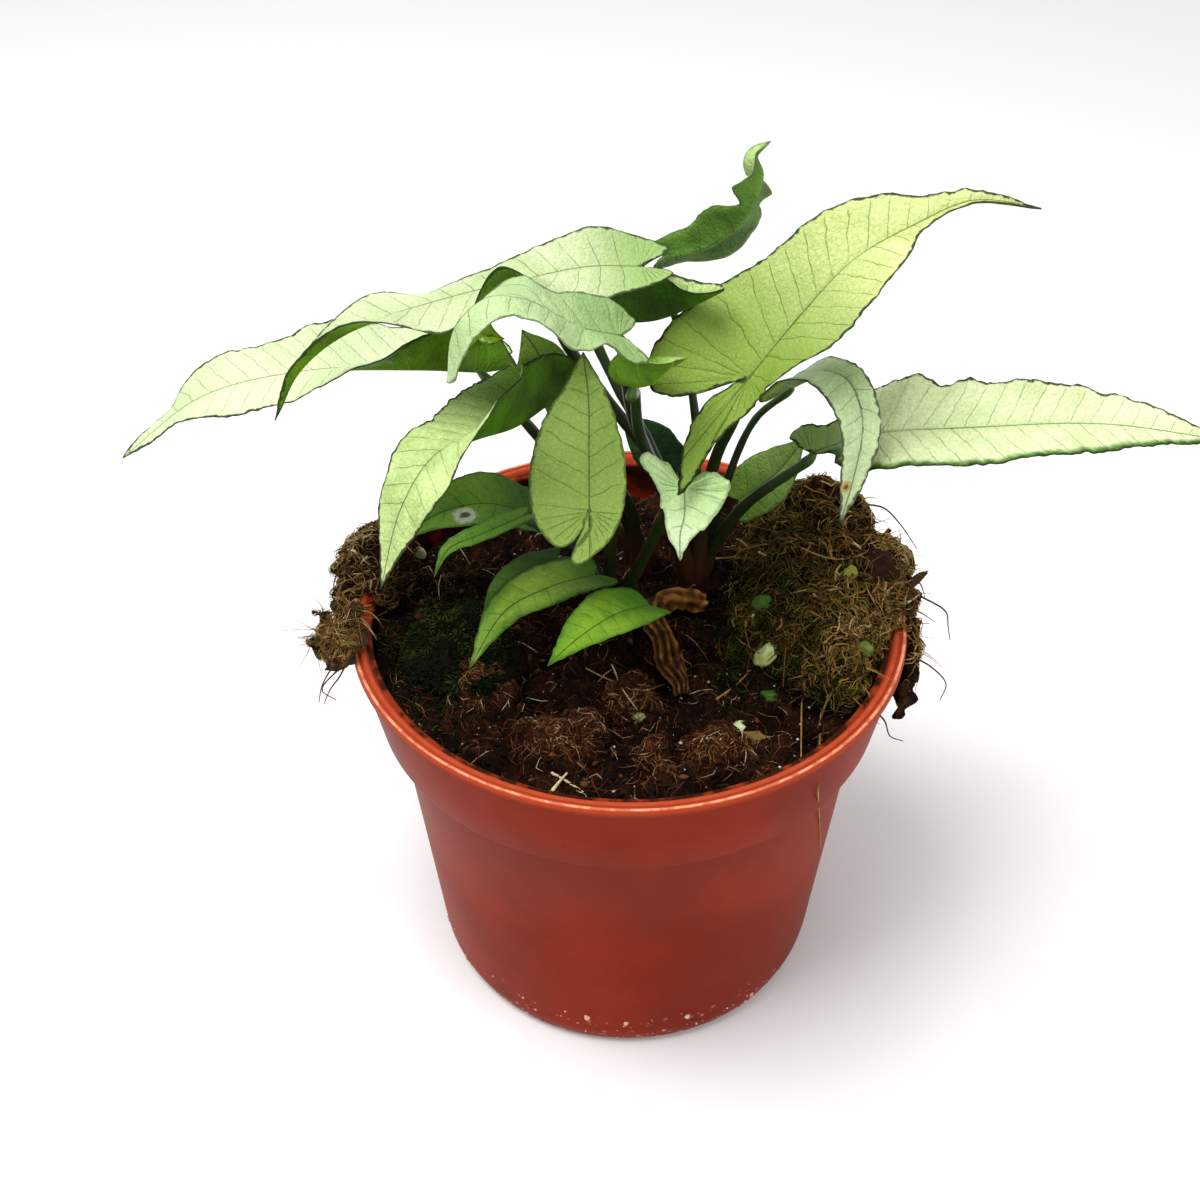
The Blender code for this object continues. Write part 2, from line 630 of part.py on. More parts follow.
def root_loops(centre, radii, count, reach, seed, collection):
    """Coarse roots that leave a lump, bend over and end in the air or back in it."""
    rng = random.Random(seed)
    roots = []
    for _ in range(count):
        turn = rng.uniform(0, 2 * math.pi)
        tilt = rng.uniform(0.15, 1.1)
        out = Vector((math.cos(turn) * math.cos(tilt), math.sin(turn) * math.cos(tilt), math.sin(tilt)))
        side = Vector((-out.y, out.x, rng.uniform(-0.3, 0.5))).normalized() * rng.uniform(0.4, 1.0)
        start = Vector([centre[i] + out[i] * radii[i] * 0.75 for i in range(3)])
        middle = Vector([centre[i] + out[i] * (radii[i] + reach * 0.6) for i in range(3)])
        middle += side * reach * 0.4
        end = middle + side * reach * 0.8 - Vector((0, 0, reach * rng.uniform(0.0, 0.6)))
        path, _ = smooth_path([start, middle, end], 5)
        roots.append(tube("root", path, 0.7, 0.35, collection, bevel=0))
    return roots


def ground_under(soil):
    """A function that gives the height of the modelled peat at a place, in mm."""
    tree = BVHTree.FromObject(soil, bpy.context.evaluated_depsgraph_get())

    def height(x, y):
        hit = tree.ray_cast(Vector((x * MM, y * MM, 1.0)), Vector((0, 0, -1)))[0]
        return hit.z / MM

    return height


def make_mats(soil, collection, cutters, looks):
    """The root mat, root clump and root scrap that lie over the rim, and the moss beside them."""
    clearance = make_clearance(cutters)
    mats = {
        "root_mat_right": ([((45, 8, 90), (20, 34, 14)), ((44, 26, 93), (14, 16, 13))], 18, 5.0),
        "root_clump_left": ([((-57, 17, 94), (9.5, 15, 6.5))], 8, 3.5),
    }
    for index, (name, (lumps, root_count, reach)) in enumerate(mats.items()):
        pieces = []
        for centre, radii in lumps:
            seed = 3.7 * index + centre[0] * 0.1
            pieces.append(lump("lump", centre, radii, 0.35, seed, collection))
        pieces += root_loops(*lumps[0], root_count, reach, 11 + index, collection)
        whole = fuse(name, pieces, collection, looks["roots"])
        cut = boolean(whole, clearance, "DIFFERENCE")
        cut.solver = "MANIFOLD"
        solid = as_mesh(whole, collection, weld=FINE_WELD)
        solid.name = name
        keep_largest(solid)
    scrap_place, scrap_size = (-61, -13, 97.5), (6, 9, 3)
    scrap = lump("lump", scrap_place, scrap_size, 0.3, 5, collection, lambda x, y: POT_H + GAP)
    sprigs = root_loops(scrap_place, scrap_size, 6, 3, 14, collection)
    fuse("root_scrap_left", [scrap, *sprigs], collection, looks["roots"])
    ground = ground_under(soil)
    moss = lump("moss_left", (-36, -8, 90), (13, 17, 5), 0.3, 6, collection,
                lambda x, y: ground(x, y) + MOSS_GAP)
    moss.data.materials.append(looks["moss"])


def make_dried_sheath(collection, mat):
    """The withered brown leaf sheath that lies curled on the peat in front of the right crown."""
    route = [(17, 6), (9, 3), (7, -4), (10, -12), (12, -18), (11, -23)]
    lift = SHEATH_R + 1.6
    path, _ = smooth_path([(x, y, soil_top(x, y) + lift) for x, y in route], 10)
    sheath = tube("dried_sheath", path, SHEATH_R, 0.5 * SHEATH_R, collection)
    sheath.name = "dried_sheath"
    sheath.data.materials.append(mat)
    return sheath


def main():
    """Build every piece of the plant and its pot."""
    parts, cutters = start_scene()
    looks = {
        "pot": material("terracotta_plastic", (0.62, 0.25, 0.16), 0.35),
        "soil": material("peat", (0.16, 0.10, 0.07), 0.95),
        "roots": material("root_fibre", (0.36, 0.26, 0.16), 0.95),
        "moss": material("moss", (0.17, 0.22, 0.08), 0.95),
        "stem": material("stem_green", (0.20, 0.23, 0.11), 0.5),
        "sheath": material("dry_sheath", (0.42, 0.26, 0.13), 0.8),
    }
    make_pot(parts, cutters, looks["pot"])
    soil = make_soil(parts, cutters, looks["soil"])
    make_mats(soil, parts, cutters, looks)
    make_dried_sheath(parts, looks["sheath"])
    for crown in CROWNS:
        make_stems(crown, parts, looks["stem"])
    for name, leaf in LEAVES.items():
        make_blade(name, leaf, parts, material(name + "_green", leaf["colour"], 0.5))
    hide_cutters(cutters)


main()
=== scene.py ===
"""Looks of the arrowhead plant: fine leaves, stalks, pot, peat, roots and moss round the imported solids.

Metres, +Z up, in the frame's own place. Lengths in the tables are millimetres, and MM turns them into
metres. Pixels are those of the 1200 x 1200 photograph that the camera repeats.
"""
import math
import random

import bmesh
import bpy
import numpy as np
from mathutils import Matrix, Vector, noise
from mathutils.bvhtree import BVHTree


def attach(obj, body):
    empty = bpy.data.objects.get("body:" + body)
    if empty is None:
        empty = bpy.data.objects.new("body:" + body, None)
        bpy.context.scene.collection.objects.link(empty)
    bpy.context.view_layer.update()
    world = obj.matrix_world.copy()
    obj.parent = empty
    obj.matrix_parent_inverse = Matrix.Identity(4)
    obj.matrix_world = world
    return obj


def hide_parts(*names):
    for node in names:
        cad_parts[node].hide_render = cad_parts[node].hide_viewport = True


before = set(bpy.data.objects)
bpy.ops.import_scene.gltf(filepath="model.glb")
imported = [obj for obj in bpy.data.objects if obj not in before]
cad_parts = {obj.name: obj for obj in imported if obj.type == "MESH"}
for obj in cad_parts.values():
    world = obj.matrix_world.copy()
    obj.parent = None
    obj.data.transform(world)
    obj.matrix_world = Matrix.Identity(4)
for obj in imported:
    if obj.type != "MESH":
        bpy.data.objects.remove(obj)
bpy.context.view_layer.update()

MM = 0.001

# The photograph's camera, in mm and degrees
IMAGE_SIZE = 1200
LENS = 45.0
SENSOR = 36.0
TARGET = (-6.1, 0.0, 97.5)
DISTANCE = 325.0
ELEVATION = 39.8
ROLL = -0.4

# The pot, in mm
RIM_R = 60.0
POT_H = 96.0
LIP_IN_R = 55.5
LIP_H = 2.2
COLLAR_LOW_R = 56.0
COLLAR_LOW_Z = 74.5
BODY_TOP_R = 52.2
BODY_LOW_R = 46.3
BODY_LOW_Z = 4.5
FOOT_R = 43.5
WALL = 1.2
FLOOR = 1.6
DRAIN_COUNT = 8
DRAIN_R = 4.0
DRAIN_RING_R = 35.0
POT_STEPS = 180
SOIL_RINGS = 76
SOIL_SPOKES = 300
COLLAR_SLANT = (RIM_R - 1.0 - COLLAR_LOW_R) / (POT_H - LIP_H - COLLAR_LOW_Z)
COLLAR_MID_R = COLLAR_LOW_R - 0.5 * WALL - COLLAR_SLANT * COLLAR_LOW_Z

# The filling, the leaves and the stalks, in mm
GAP = 0.3
SOIL_LEVEL = 87.0
SOIL_R = LIP_IN_R - 0.4
CROWN_R = 4.2
CROWN_LOW_Z = 74.0
BLADE_THICK = 0.45
KEEL_THICK = 0.55
FLAT_BASE = 6.0
LOBE_EASE = 0.6
FLOW_SCALE = 9.0
FLOW_SHIFTS = (0.0, 17.3, 41.9)
SHEATH_RIBS = 13
SHEATH_THICK = 0.25
LOBE_BACK = 0.55
LOBE_INNER = 0.42 * LOBE_BACK
TAPER = 1.2
OUTLINE_FLAT = 0.35
LEAF_EDGE = (30, 44, 16)
VEIN_LEAN = 0.55
VEIN_GAP = 4.0
VEIN_TURN = 14.0
WAVE_SHIFT = 1.7
CURVE_SAMPLES = 300
RIB_SAMPLES = 90

# How many of each small thing are set, or tried where only some find a place
LIME_SPECKS = 420
CRUMBS = 1900
SPECKS = 520
PEAT_TRIES = 6000
CLOD_TRIES = 26000
MAT_TRIES = 5200
CLUMP_TRIES = 1300
SCRAP_TRIES = 900
MOSS_ON_LUMP = 2300
MOSS_LEFT = 4600
MOSS_ON_MAT = 6500
MOSS_RIGHT = 1500

# The crowns' places on the peat, as x and y in mm
CROWNS = {
    "right": (15, 15),
    "left": (4, 23),
    "front": (-4, 8),
}

# The leaves, in mm and degrees. A petiole leaves its crown, passes the via points and meets the rib, the
# midrib from petiole to tip, rise mm below it. face is where the upper face looks at the petiole, and
# twist turns it on the way to the tip. Left and right are those of someone who looks from the petiole to
# the tip with the upper face up. fold lifts a half at places spread from petiole to tip, share_left and
# share_right make a half wider or narrower, wave and waves are the margin's height and count of waves,
# and ripples are single ones: side, place along the rib, height, spread. An outline gives the margin as
# shares of the length and of half the width. Without one, lobe, widest and belly shape an arrowhead.
LEAVES = {
    "leaf_far_left": dict(
        crown="left", via=[(-10, 24, 110), (-22, 21, 130)],
        rib=[(-30, 16, 146), (-43, 12, 149), (-64, 4, 153), (-83, 0, 150), (-101, -2, 137)],
        width=25, share_left=0.9, widest=0.25, belly=2.4, face=(0, -0.1, 1),
        fold_left=(95, 60, 0, 0, 10), fold_right=(20, 10, 5, 0, 0), wave=1.2, waves=4),
    "leaf_top": dict(
        crown="right", via=[(8, 17, 118), (-5, 18, 138), (-14, 13, 158), (-9, 6, 170)], rise=3,
        rib=[(2, 4, 175), (-8, 2, 176), (-20, -1, 175), (-37, -4, 172), (-53, -8, 168), (-62, -10, 161),
             (-67, -12, 152)],
        width=20, face=(0, -0.1, 1), fold_left=(0, 0, 0, 15, 50, 60, 50), fold_right=(10, 10, 0, 0, 0),
        outline_left=[(0, 0), (-0.05, 0.1), (-0.07, 0.28), (-0.02, 0.55), (0.1, 0.85), (0.2, 1.0),
                      (0.35, 1.0), (0.5, 0.95), (0.66, 0.66), (0.76, 0.36), (0.88, 0.2), (1, 0)],
        outline_right=[(0, 0), (-0.06, 0.3), (-0.08, 0.55), (0, 0.74), (0.12, 0.76), (0.28, 0.62),
                       (0.38, 0.5), (0.5, 0.5), (0.62, 0.78), (0.7, 0.66), (0.8, 0.3), (0.9, 0.12), (1, 0)],
        ripples=[("left", 0.33, 10.5, 0.07), ("left", 0.14, -2.5, 0.1), ("left", 0.55, -3.5, 0.12),
                 ("right", 0.5, -1.5, 0.06), ("right", 0.1, 2, 0.1)]),
    "leaf_under_top": dict(
        crown="right", via=[(6, 13, 125), (-3, 13, 145)], rise=4,
        rib=[(-6, 12, 160), (4, 8, 162), (12, 3, 168), (17, -1, 173)],
        width=18, face=(0, 0, 1), fold_right=(80, 85, 80, 10), fold_left=(60, 60, 60, 10),
        outline_left=[(0, 0), (-0.1, 0.55), (0, 0.9), (0.2, 1), (0.5, 0.9), (0.72, 0.5), (0.85, 0.3),
                      (0.94, 0.2), (1, 0)],
        outline_right=[(0, 0), (-0.1, 0.55), (0, 0.9), (0.2, 1), (0.5, 0.9), (0.75, 0.62),
                       (0.9, 0.42), (1, 0)]),
    "leaf_front_top": dict(
        crown="right", via=[(8, 10, 118), (1, 6, 140), (-1, 2, 155), (-2, -8, 166)], rise=3,
        rib=[(-2, -18, 173), (-9, -22, 177), (-18, -26, 184.5), (-24.5, -29, 186.5), (-30, -31, 182),
             (-32, -31, 171.5)],
        width=15, share_right=1.1, face=(0, -0.2, 1),
        fold_right=(14, 14, 0, -75, -85, -50), fold_left=(0, 0, 0, 0, 0, 10),
        outline_left=[(0, 0), (-0.04, 0.3), (-0.06, 0.68), (-0.04, 1.0), (0.03, 1.12), (0.09, 0.98),
                      (0.15, 0.78), (0.21, 0.95), (0.3, 1.12), (0.42, 0.95), (0.55, 0.82), (0.8, 0.8),
                      (0.93, 0.6), (1, 0)],
        outline_right=[(0, 0), (-0.08, 0.3), (-0.12, 0.66), (-0.04, 0.98), (0.15, 1.0), (0.32, 0.8),
                       (0.45, 1.2), (0.58, 1.6), (0.7, 1.5), (0.82, 0.9), (0.92, 0.5), (1, 0)],
        ripples=[("left", 0.14, 1.5, 0.05), ("left", 0.3, -1, 0.08)]),
    "leaf_back_small": dict(
        crown="left", via=[(-3, 20, 112), (-12, 17, 134)],
        rib=[(-17, 12, 146), (-18, 11, 152), (-21, 10, 158)],
        width=11, widest=0.2, face=(0, -0.8, 0.6)),
    "leaf_middle_right": dict(
        crown="right", via=[(9, 9, 115), (2, 5, 138), (1, 0, 150)], rise=3,
        rib=[(0, -8, 157), (3, -12, 160), (5, -16, 164), (7, -20, 169)],
        width=14, widest=0.3, belly=3.0, face=(0, 0, 1),
        fold_right=(80, 80, 60, 0), fold_left=(30, 20, 10, 0)),
    "leaf_left_arched": dict(
        crown="left", via=[(0, 16, 112), (-9, 9, 130)],
        rib=[(-16, 2, 147), (-22, -9, 149), (-29, -18, 152), (-36, -24, 152), (-42, -30, 145),
             (-47, -34, 129)],
        width=24, widest=0.2, belly=2.2, face=(0, 0, 1),
        fold_left=(88, 88, 55, 0, -10, 0), fold_right=(30, 20, 0, 0, 0, 0)),
    "leaf_front_upright": dict(
        crown="front", via=[(-4, 0, 108), (-4, -8, 124)],
        rib=[(-8, -20, 136), (-8, -12, 145), (-8, -5, 151), (-9, 2, 158)],
        width=23, share_right=0.62, face=(0, -0.9, 0.4), fold_left=(6, 6), fold_right=(16, 10), wave=0.5,
        outline_left=[(0, 0), (-0.09, 0.1), (-0.18, 0.26), (-0.22, 0.5), (-0.1, 0.84), (0.12, 1.0),
                      (0.36, 0.94), (0.6, 0.7), (0.82, 0.34), (1, 0)],
        outline_right=[(0, 0), (-0.06, 0.04), (-0.15, -0.1), (-0.27, -0.5), (-0.32, -0.4), (-0.27, 0.1),
                       (-0.14, 0.66), (0.06, 0.98), (0.3, 1.0), (0.56, 0.74), (0.8, 0.38), (1, 0)]),
    "leaf_low_left": dict(
        crown="front", via=[(-10, 13, 101)],
        rib=[(-20, 16, 109), (-31, 12, 115), (-41, 8, 115), (-49, 5, 110)],
        width=16, widest=0.3, face=(0, -0.2, 1)),
    "leaf_low_left_narrow": dict(
        crown="front", via=[(-11, 5, 106)],
        rib=[(-22, 2, 119), (-30, -4, 119), (-37, -8, 118), (-40, -12, 114)],
        width=5, widest=0.3, face=(0, -0.2, 1)),
    "leaf_front_left": dict(
        crown="front", via=[(-4, 1, 100)],
        rib=[(-7, -4, 108), (-16, -14, 113), (-25, -23, 114), (-32, -32, 107)],
        width=12, lobe=0.08, widest=0.25, face=(0, -0.2, 1)),
    "leaf_front_left_narrow": dict(
        crown="front", via=[(-9, 5, 100)],
        rib=[(-15, 2, 108), (-23, -6, 110), (-28, -12, 109), (-30, -16, 107)],
        width=7, widest=0.3, face=(0, -0.2, 1)),
    "leaf_front_low": dict(
        crown="front", via=[(1, 0, 98)],
        rib=[(4, -14, 108), (-3, -24, 114), (-10, -33, 116), (-16, -41, 116)],
        width=13, lobe=0.04, widest=0.3, face=(0, -0.2, 1)),
    "leaf_centre_young": dict(
        crown="front", via=[(1, 0, 104), (7, -6, 124)],
        rib=[(10, -18, 140), (10, -22, 137), (9, -26, 135), (9, -29, 131)],
        width=17, face=(0, -0.8, 0.6), fold_left=(12, 12, 5), fold_right=(30, 12, 5),
        outline_left=[(0, 0), (-0.1, 0.2), (-0.2, 0.5), (-0.16, 0.82), (-0.02, 1.0), (0.12, 0.98),
                      (0.24, 0.84), (0.38, 0.64), (0.6, 0.38), (0.85, 0.13), (1, 0)],
        outline_right=[(0, 0), (-0.16, 0.15), (-0.34, 0.42), (-0.44, 0.75), (-0.38, 1.0), (-0.22, 0.98),
                       (-0.06, 0.8), (0.08, 0.66), (0.25, 0.6), (0.45, 0.46), (0.7, 0.25), (0.88, 0.1),
                       (1, 0)],
        wave=0.9, waves=7),
    "leaf_right_large": dict(
        crown="right", via=[(18, 11, 125), (21, 4, 141)],
        rib=[(22, -8, 158), (31, -2, 167), (41, 2, 177), (52, 4, 183), (62, 5, 187), (75, 6, 185)],
        width=42, share_right=0.8, face=(-0.35, -0.6, 0.7),
        fold_left=(0, 0), fold_right=(34, 28, 26, 36, 50),
        outline_left=[(0, 0), (-0.12, 0.3), (-0.19, 0.55), (-0.17, 0.82), (-0.04, 0.95), (0.1, 0.86),
                      (0.3, 0.62), (0.48, 0.52), (0.6, 0.38), (0.7, 0.18), (0.86, 0.07), (1, 0)],
        outline_right=[(0, 0), (-0.05, -0.14), (-0.13, -0.26), (-0.22, -0.2), (-0.3, -0.02),
                       (-0.36, 0.18), (-0.385, 0.3), (-0.34, 0.3), (-0.24, 0.22), (-0.14, 0.25),
                       (-0.04, 0.34), (0.06, 0.5), (0.2, 0.74), (0.36, 0.76), (0.5, 0.6), (0.58, 0.4),
                       (0.64, 0.16), (0.84, 0.08), (1, 0)]),
    "leaf_right_hanging": dict(
        crown="right", via=[(22, 18, 117), (27, 18, 132)], rise=1.5,
        rib=[(33, 14, 143), (38, 6, 151), (42, -4, 154), (44, -10, 149), (43, -13, 139), (41, -15, 129)],
        width=10.5, face=(0.2, -0.3, 1), fold=(12, 16, 20), twist=(20, 5, 0, 0),
        outline_left=[(0, 0), (-0.04, 0.4), (0, 0.7), (0.15, 0.78), (0.35, 0.68), (0.55, 0.66),
                      (0.72, 0.58), (0.87, 0.34), (1, 0)],
        outline_right=[(0, 0), (-0.08, 0.6), (-0.04, 1.35), (0.12, 2.0), (0.26, 2.0), (0.4, 1.6),
                       (0.55, 1.15), (0.72, 0.8), (0.87, 0.45), (1, 0)]),
    "leaf_far_right": dict(
        crown="right", via=[(24, 11, 113)], rise=2,
        rib=[(37, 4, 133), (48, 0, 140), (66, -4, 144), (91, -6, 146), (116, -6, 142)],
        width=22, share_right=1.1, face=(0, -0.25, 1),
        outline_left=[(0, 0), (-0.02, 0.12), (-0.055, 0.36), (-0.07, 0.6), (-0.04, 0.72), (0, 0.62),
                      (0.04, 0.48), (0.08, 0.52), (0.11, 0.78), (0.16, 0.98), (0.3, 1), (0.5, 0.9),
                      (0.7, 0.7), (0.87, 0.38), (1, 0)],
        outline_right=[(0, 0), (0.02, 0.1), (0.07, 0.25), (0.1, 0.7), (0.16, 0.95), (0.3, 1), (0.5, 0.92),
                       (0.7, 0.68), (0.87, 0.34), (1, 0)],
        ripples=[("left", 0.27, 2.2, 0.035), ("left", 0.4, 1.6, 0.035), ("left", 0.53, 1.3, 0.04),
                 ("left", 0.66, 1.0, 0.04), ("left", 0.335, -1, 0.03)],
        wave=0.5, waves=5),
    "leaf_right_low": dict(
        crown="right", via=[],
        rib=[(25, 22, 108), (32, 20, 116), (38, 18, 127)],
        width=13, widest=0.3, face=(0, -0.6, 0.8)),
    "leaf_top_young": dict(
        crown="right", via=[(15, 19, 125), (11, 20, 150)],
        rib=[(7, 18, 170), (15, 16, 173), (21, 14, 179), (23, 13, 184), (24, 14, 188), (23, 16, 191),
             (26, 18, 193)],
        width=10.5, face=(-0.3, 1, 0.2), twist=(0, 0, 20, 150), fold=(20, 20),
        outline_left=[(0, 0), (-0.06, 0.3), (-0.1, 0.7), (0.02, 1), (0.25, 1.3), (0.45, 1.2), (0.55, 0.8),
                      (0.6, 0.5), (0.68, 1.2), (0.77, 1.4), (0.86, 0.7), (0.93, 0.25), (1, 0)],
        outline_right=[(0, 0), (-0.03, 0.3), (-0.06, 0.6), (0.06, 0.8), (0.2, 0.95), (0.35, 1.2),
                       (0.5, 1.1), (0.56, 0.7), (0.6, 0.4), (0.68, 0.9), (0.75, 0.7), (0.86, 0.35),
                       (0.93, 0.15), (1, 0)]),
    "leaf_back_dark": dict(
        crown="right", via=[(14, 24, 104)],
        rib=[(11, 27, 112), (5, 27, 120), (-1, 27, 127)],
        width=11, widest=0.4, face=(0, -0.7, 0.7)),
}

# How each leaf looks. Colours are display colours, 0 to 255: top is the upper face, deep what it turns
# to at the petiole as painted shade, over shade_reach mm, and in blotches, and under the lower face.
# fringe colours the right margin, and edge_reach is how far in, in mm, the margin is deep. margin is how
# dark the edge line is, jag the depth of its teeth in mm, crinkle that of the fine relief. blotch and
# veins are strengths.
LOOKS = {
    "leaf_far_left": dict(top=(204, 220, 172), deep=(180, 208, 138), under=(85, 127, 11), slot="leaf_pale",
                          margin=0.95, jag=0.4, veins=0.3),
    "leaf_top": dict(top=(194, 206, 160), deep=(150, 180, 108), under=(102, 149, 10), slot="leaf_pale",
                     margin=0.9, shade_reach=14, blotch=0.5, crinkle=0.12, veins=0.3),
    "leaf_under_top": dict(top=(190, 212, 140), deep=(80, 122, 28), under=(63, 108, 10), slot="leaf_olive",
                           margin=0.95, shade_reach=12),
    "leaf_front_top": dict(top=(172, 196, 140), deep=(140, 172, 106), under=(127, 168, 11),
                           slot="leaf_pale", margin=0.6, crinkle=0.25, veins=0.4),
    "leaf_back_small": dict(top=(176, 208, 108), deep=(132, 172, 62), under=(117, 163, 17),
                            slot="leaf_green", margin=0.4),
    "leaf_middle_right": dict(top=(206, 230, 140), deep=(112, 158, 42), under=(98, 142, 22),
                              slot="leaf_olive", margin=0.3, shade_reach=14),
    "leaf_left_arched": dict(top=(194, 216, 140), deep=(84, 122, 26), under=(73, 118, 7), slot="leaf_pale",
                             margin=0.95, shade_reach=34, jag=0.35, veins=0.4),
    "leaf_front_upright": dict(top=(160, 192, 92), deep=(150, 180, 84), under=(146, 180, 35),
                               slot="leaf_green", margin=0.6, veins=1.1),
    # Painted shade: this leaf's colours are darkened for its place in the shadow low at the left
    "leaf_low_left": dict(top=(98, 142, 30), deep=(52, 92, 22), under=(59, 106, 11), slot="leaf_dark",
                          margin=0.5, blotch=0.7),
    "leaf_low_left_narrow": dict(top=(104, 152, 46), deep=(84, 126, 32), under=(85, 132, 15),
                                 slot="leaf_olive", margin=0.3),
    "leaf_front_left": dict(top=(152, 190, 66), deep=(72, 120, 20), under=(98, 154, 18), slot="leaf_fresh",
                            margin=0.6, blotch=0.6, edge_reach=3.2, veins=0.3),
    "leaf_front_left_narrow": dict(top=(78, 118, 36), deep=(52, 88, 22), under=(61, 101, 13),
                                   slot="leaf_dark", margin=0.3),
    "leaf_front_low": dict(top=(134, 172, 40), deep=(78, 134, 18), under=(110, 168, 18), slot="leaf_fresh",
                           margin=0.4, blotch=0.7, edge_reach=3.0, veins=0.3),
    "leaf_centre_young": dict(top=(220, 244, 196), deep=(196, 226, 160), under=(146, 192, 42),
                              slot="leaf_pale", margin=0.35, jag=0.4),
    "leaf_right_large": dict(top=(208, 222, 146), deep=(126, 154, 58), under=(146, 185, 28),
                             slot="leaf_pale", margin=0.95, shade_reach=40, jag=0.4, blotch=0.25, veins=0.6),
    "leaf_right_hanging": dict(top=(206, 226, 170), deep=(160, 184, 136), under=(117, 154, 25),
                               slot="leaf_green", margin=0.85, shade_reach=26, jag=0.25),
    "leaf_far_right": dict(top=(222, 234, 182), deep=(150, 184, 100), under=(112, 161, 25),
                           slot="leaf_pale", margin=0.95, jag=0.5, shade_reach=18, blotch=0.2, veins=0.45,
                           fringe=(64, 112, 20)),
    "leaf_right_low": dict(top=(158, 192, 100), deep=(112, 152, 58), under=(105, 156, 25),
                           slot="leaf_olive", margin=0.4),
    "leaf_top_young": dict(top=(176, 204, 132), deep=(150, 186, 100), under=(96, 136, 50),
                           slot="leaf_olive", margin=0.35),
    # Painted shade: this leaf's colours are nearly black for its place in the shadow at the back
    "leaf_back_dark": dict(top=(40, 74, 34), deep=(26, 56, 26), under=(29, 60, 14), slot="leaf_dark",
                           margin=0.3),
}

# Small things' looks: roughness, grains a metre, and display colours by tone
TONES = {
    "crumb": (0.85, 900.0, {0.0: (12, 7, 5), 0.5: (40, 23, 14), 1.0: (104, 66, 38)}),
    "coir": (0.7, 900.0, {0.0: (20, 9, 5), 0.3: (56, 28, 15), 0.55: (106, 60, 34), 0.8: (158, 114, 66),
                          1.0: (222, 206, 176)}),
    "fibre": (0.7, 900.0, {0.0: (20, 14, 6), 0.25: (58, 44, 16), 0.5: (116, 86, 36), 0.75: (160, 126, 68),
                           1.0: (220, 202, 166)}),
    "speck": (0.6, 900.0, {0.0: (150, 144, 132), 1.0: (240, 236, 226)}),
    "lime": (0.7, 900.0, {0.0: (150, 84, 60), 0.6: (196, 140, 116), 1.0: (232, 206, 190)}),
    "pellet": (0.5, 500.0, {0.0: (54, 92, 34), 0.3: (84, 100, 44), 0.6: (150, 146, 60),
                            0.85: (164, 176, 108), 1.0: (206, 220, 168)}),
    "chip": (0.8, 900.0, {0.0: (36, 20, 16), 0.5: (84, 56, 34), 1.0: (150, 122, 66)}),
    "moss": (0.7, 900.0, {0.0: (11, 14, 4), 0.35: (27, 37, 8), 0.7: (64, 72, 18), 1.0: (124, 124, 48)}),
    "moss_body": (0.9, 900.0, {0.0: (10, 14, 5), 1.0: (28, 38, 12)}),
    "scrap_body": (0.9, 900.0, {0.0: (60, 46, 32), 1.0: (120, 98, 74)}),
    "sheath": (0.5, 1300.0, {0.0: (26, 14, 6), 0.35: (80, 48, 18), 0.65: (138, 90, 38),
                             1.0: (190, 136, 72)}),
}

# Single marks on leaves: the pixel, the radius in mm, the display colours inside and round it
SPOTS = {
    "leaf_low_left": (465, 515, 2.6, (66, 80, 44), (176, 184, 160)),
    "leaf_right_hanging": (846, 487, 1.3, (120, 74, 30), (176, 160, 96)),
}

# Roots as the pixels that they run through, on what lies below them
LONG_ROOTS = {
    "root_over_rim": [(843, 666), (828, 700), (821, 713), (819, 740), (817, 785), (818, 815), (819, 847)],
    "root_to_rim": [(806, 664), (803, 700), (801, 758)],
    "white_root": [(600, 643), (612, 668), (624, 690), (636, 710)],
    "root_on_peat": [(560, 650), (590, 672), (640, 690), (664, 684)],
    "root_by_sheath": [(716, 700), (738, 682), (756, 664)],
    "root_on_mat": [(700, 560), (742, 556), (790, 540), (832, 552)],
    "root_across_mat": [(770, 520), (800, 548), (838, 560), (880, 548)],
}
# Roots that leave a mat at their first pixel and hang free
FREE_ROOTS = {
    "air_root_top": [(866, 503), (884, 508), (900, 524), (917, 549)],
    "air_root_side": [(936, 600), (946, 612), (948, 626), (950, 640)],
    "air_root_low": [(866, 704), (884, 720), (890, 736), (903, 741)],
    "air_root_far": [(908, 655), (930, 666), (946, 684), (940, 700)],
    "loop_left": [(352, 616), (336, 634), (318, 650), (326, 662), (346, 660)],
    "loop_left_low": [(352, 660), (336, 672), (322, 690), (336, 700)],
    "wisp_left": [(346, 652), (332, 668), (322, 686), (319, 702)],
    "wisp_left_long": [(350, 656), (340, 676), (330, 690), (324, 704)],
    "loop_left_top": [(350, 560), (338, 572), (334, 590), (344, 602)],
}
# Small lumps as pixel, radius in mm and tone from 0 to 1
PELLETS = {
    "pellet_pale": (766, 654, 3.0, 0.85),
    "pellet_green": (770, 697, 2.2, 0.1),
    "pellet_front": (638, 719, 1.9, 0.8),
    "pellet_white": (738, 728, 2.0, 1.0),
    "pellet_yellow": (849, 576, 1.9, 0.55),
    "pellet_back": (734, 593, 1.7, 0.3),
    "pellet_back_dark": (764, 606, 2.4, 0.15),
    "pellet_right": (864, 652, 1.9, 0.35),
    "pellet_left": (415, 552, 2.0, 0.9),
}
BARK_CHIPS = {
    "chip_front": (753, 743, 4.0, 0.75),
    "chip_right": (884, 572, 6.0, 0.05),
    "chip_mat": (910, 582, 4.0, 0.35),
}
# Beads of lime as pixel and radius in mm
LIME_BEADS = {
    "bead_left": (587, 1017, 0.7),
    "bead_middle": (626, 1023, 0.6),
    "bead_right": (687, 1016, 0.7),
    "bead_far": (751, 994, 0.6),
}
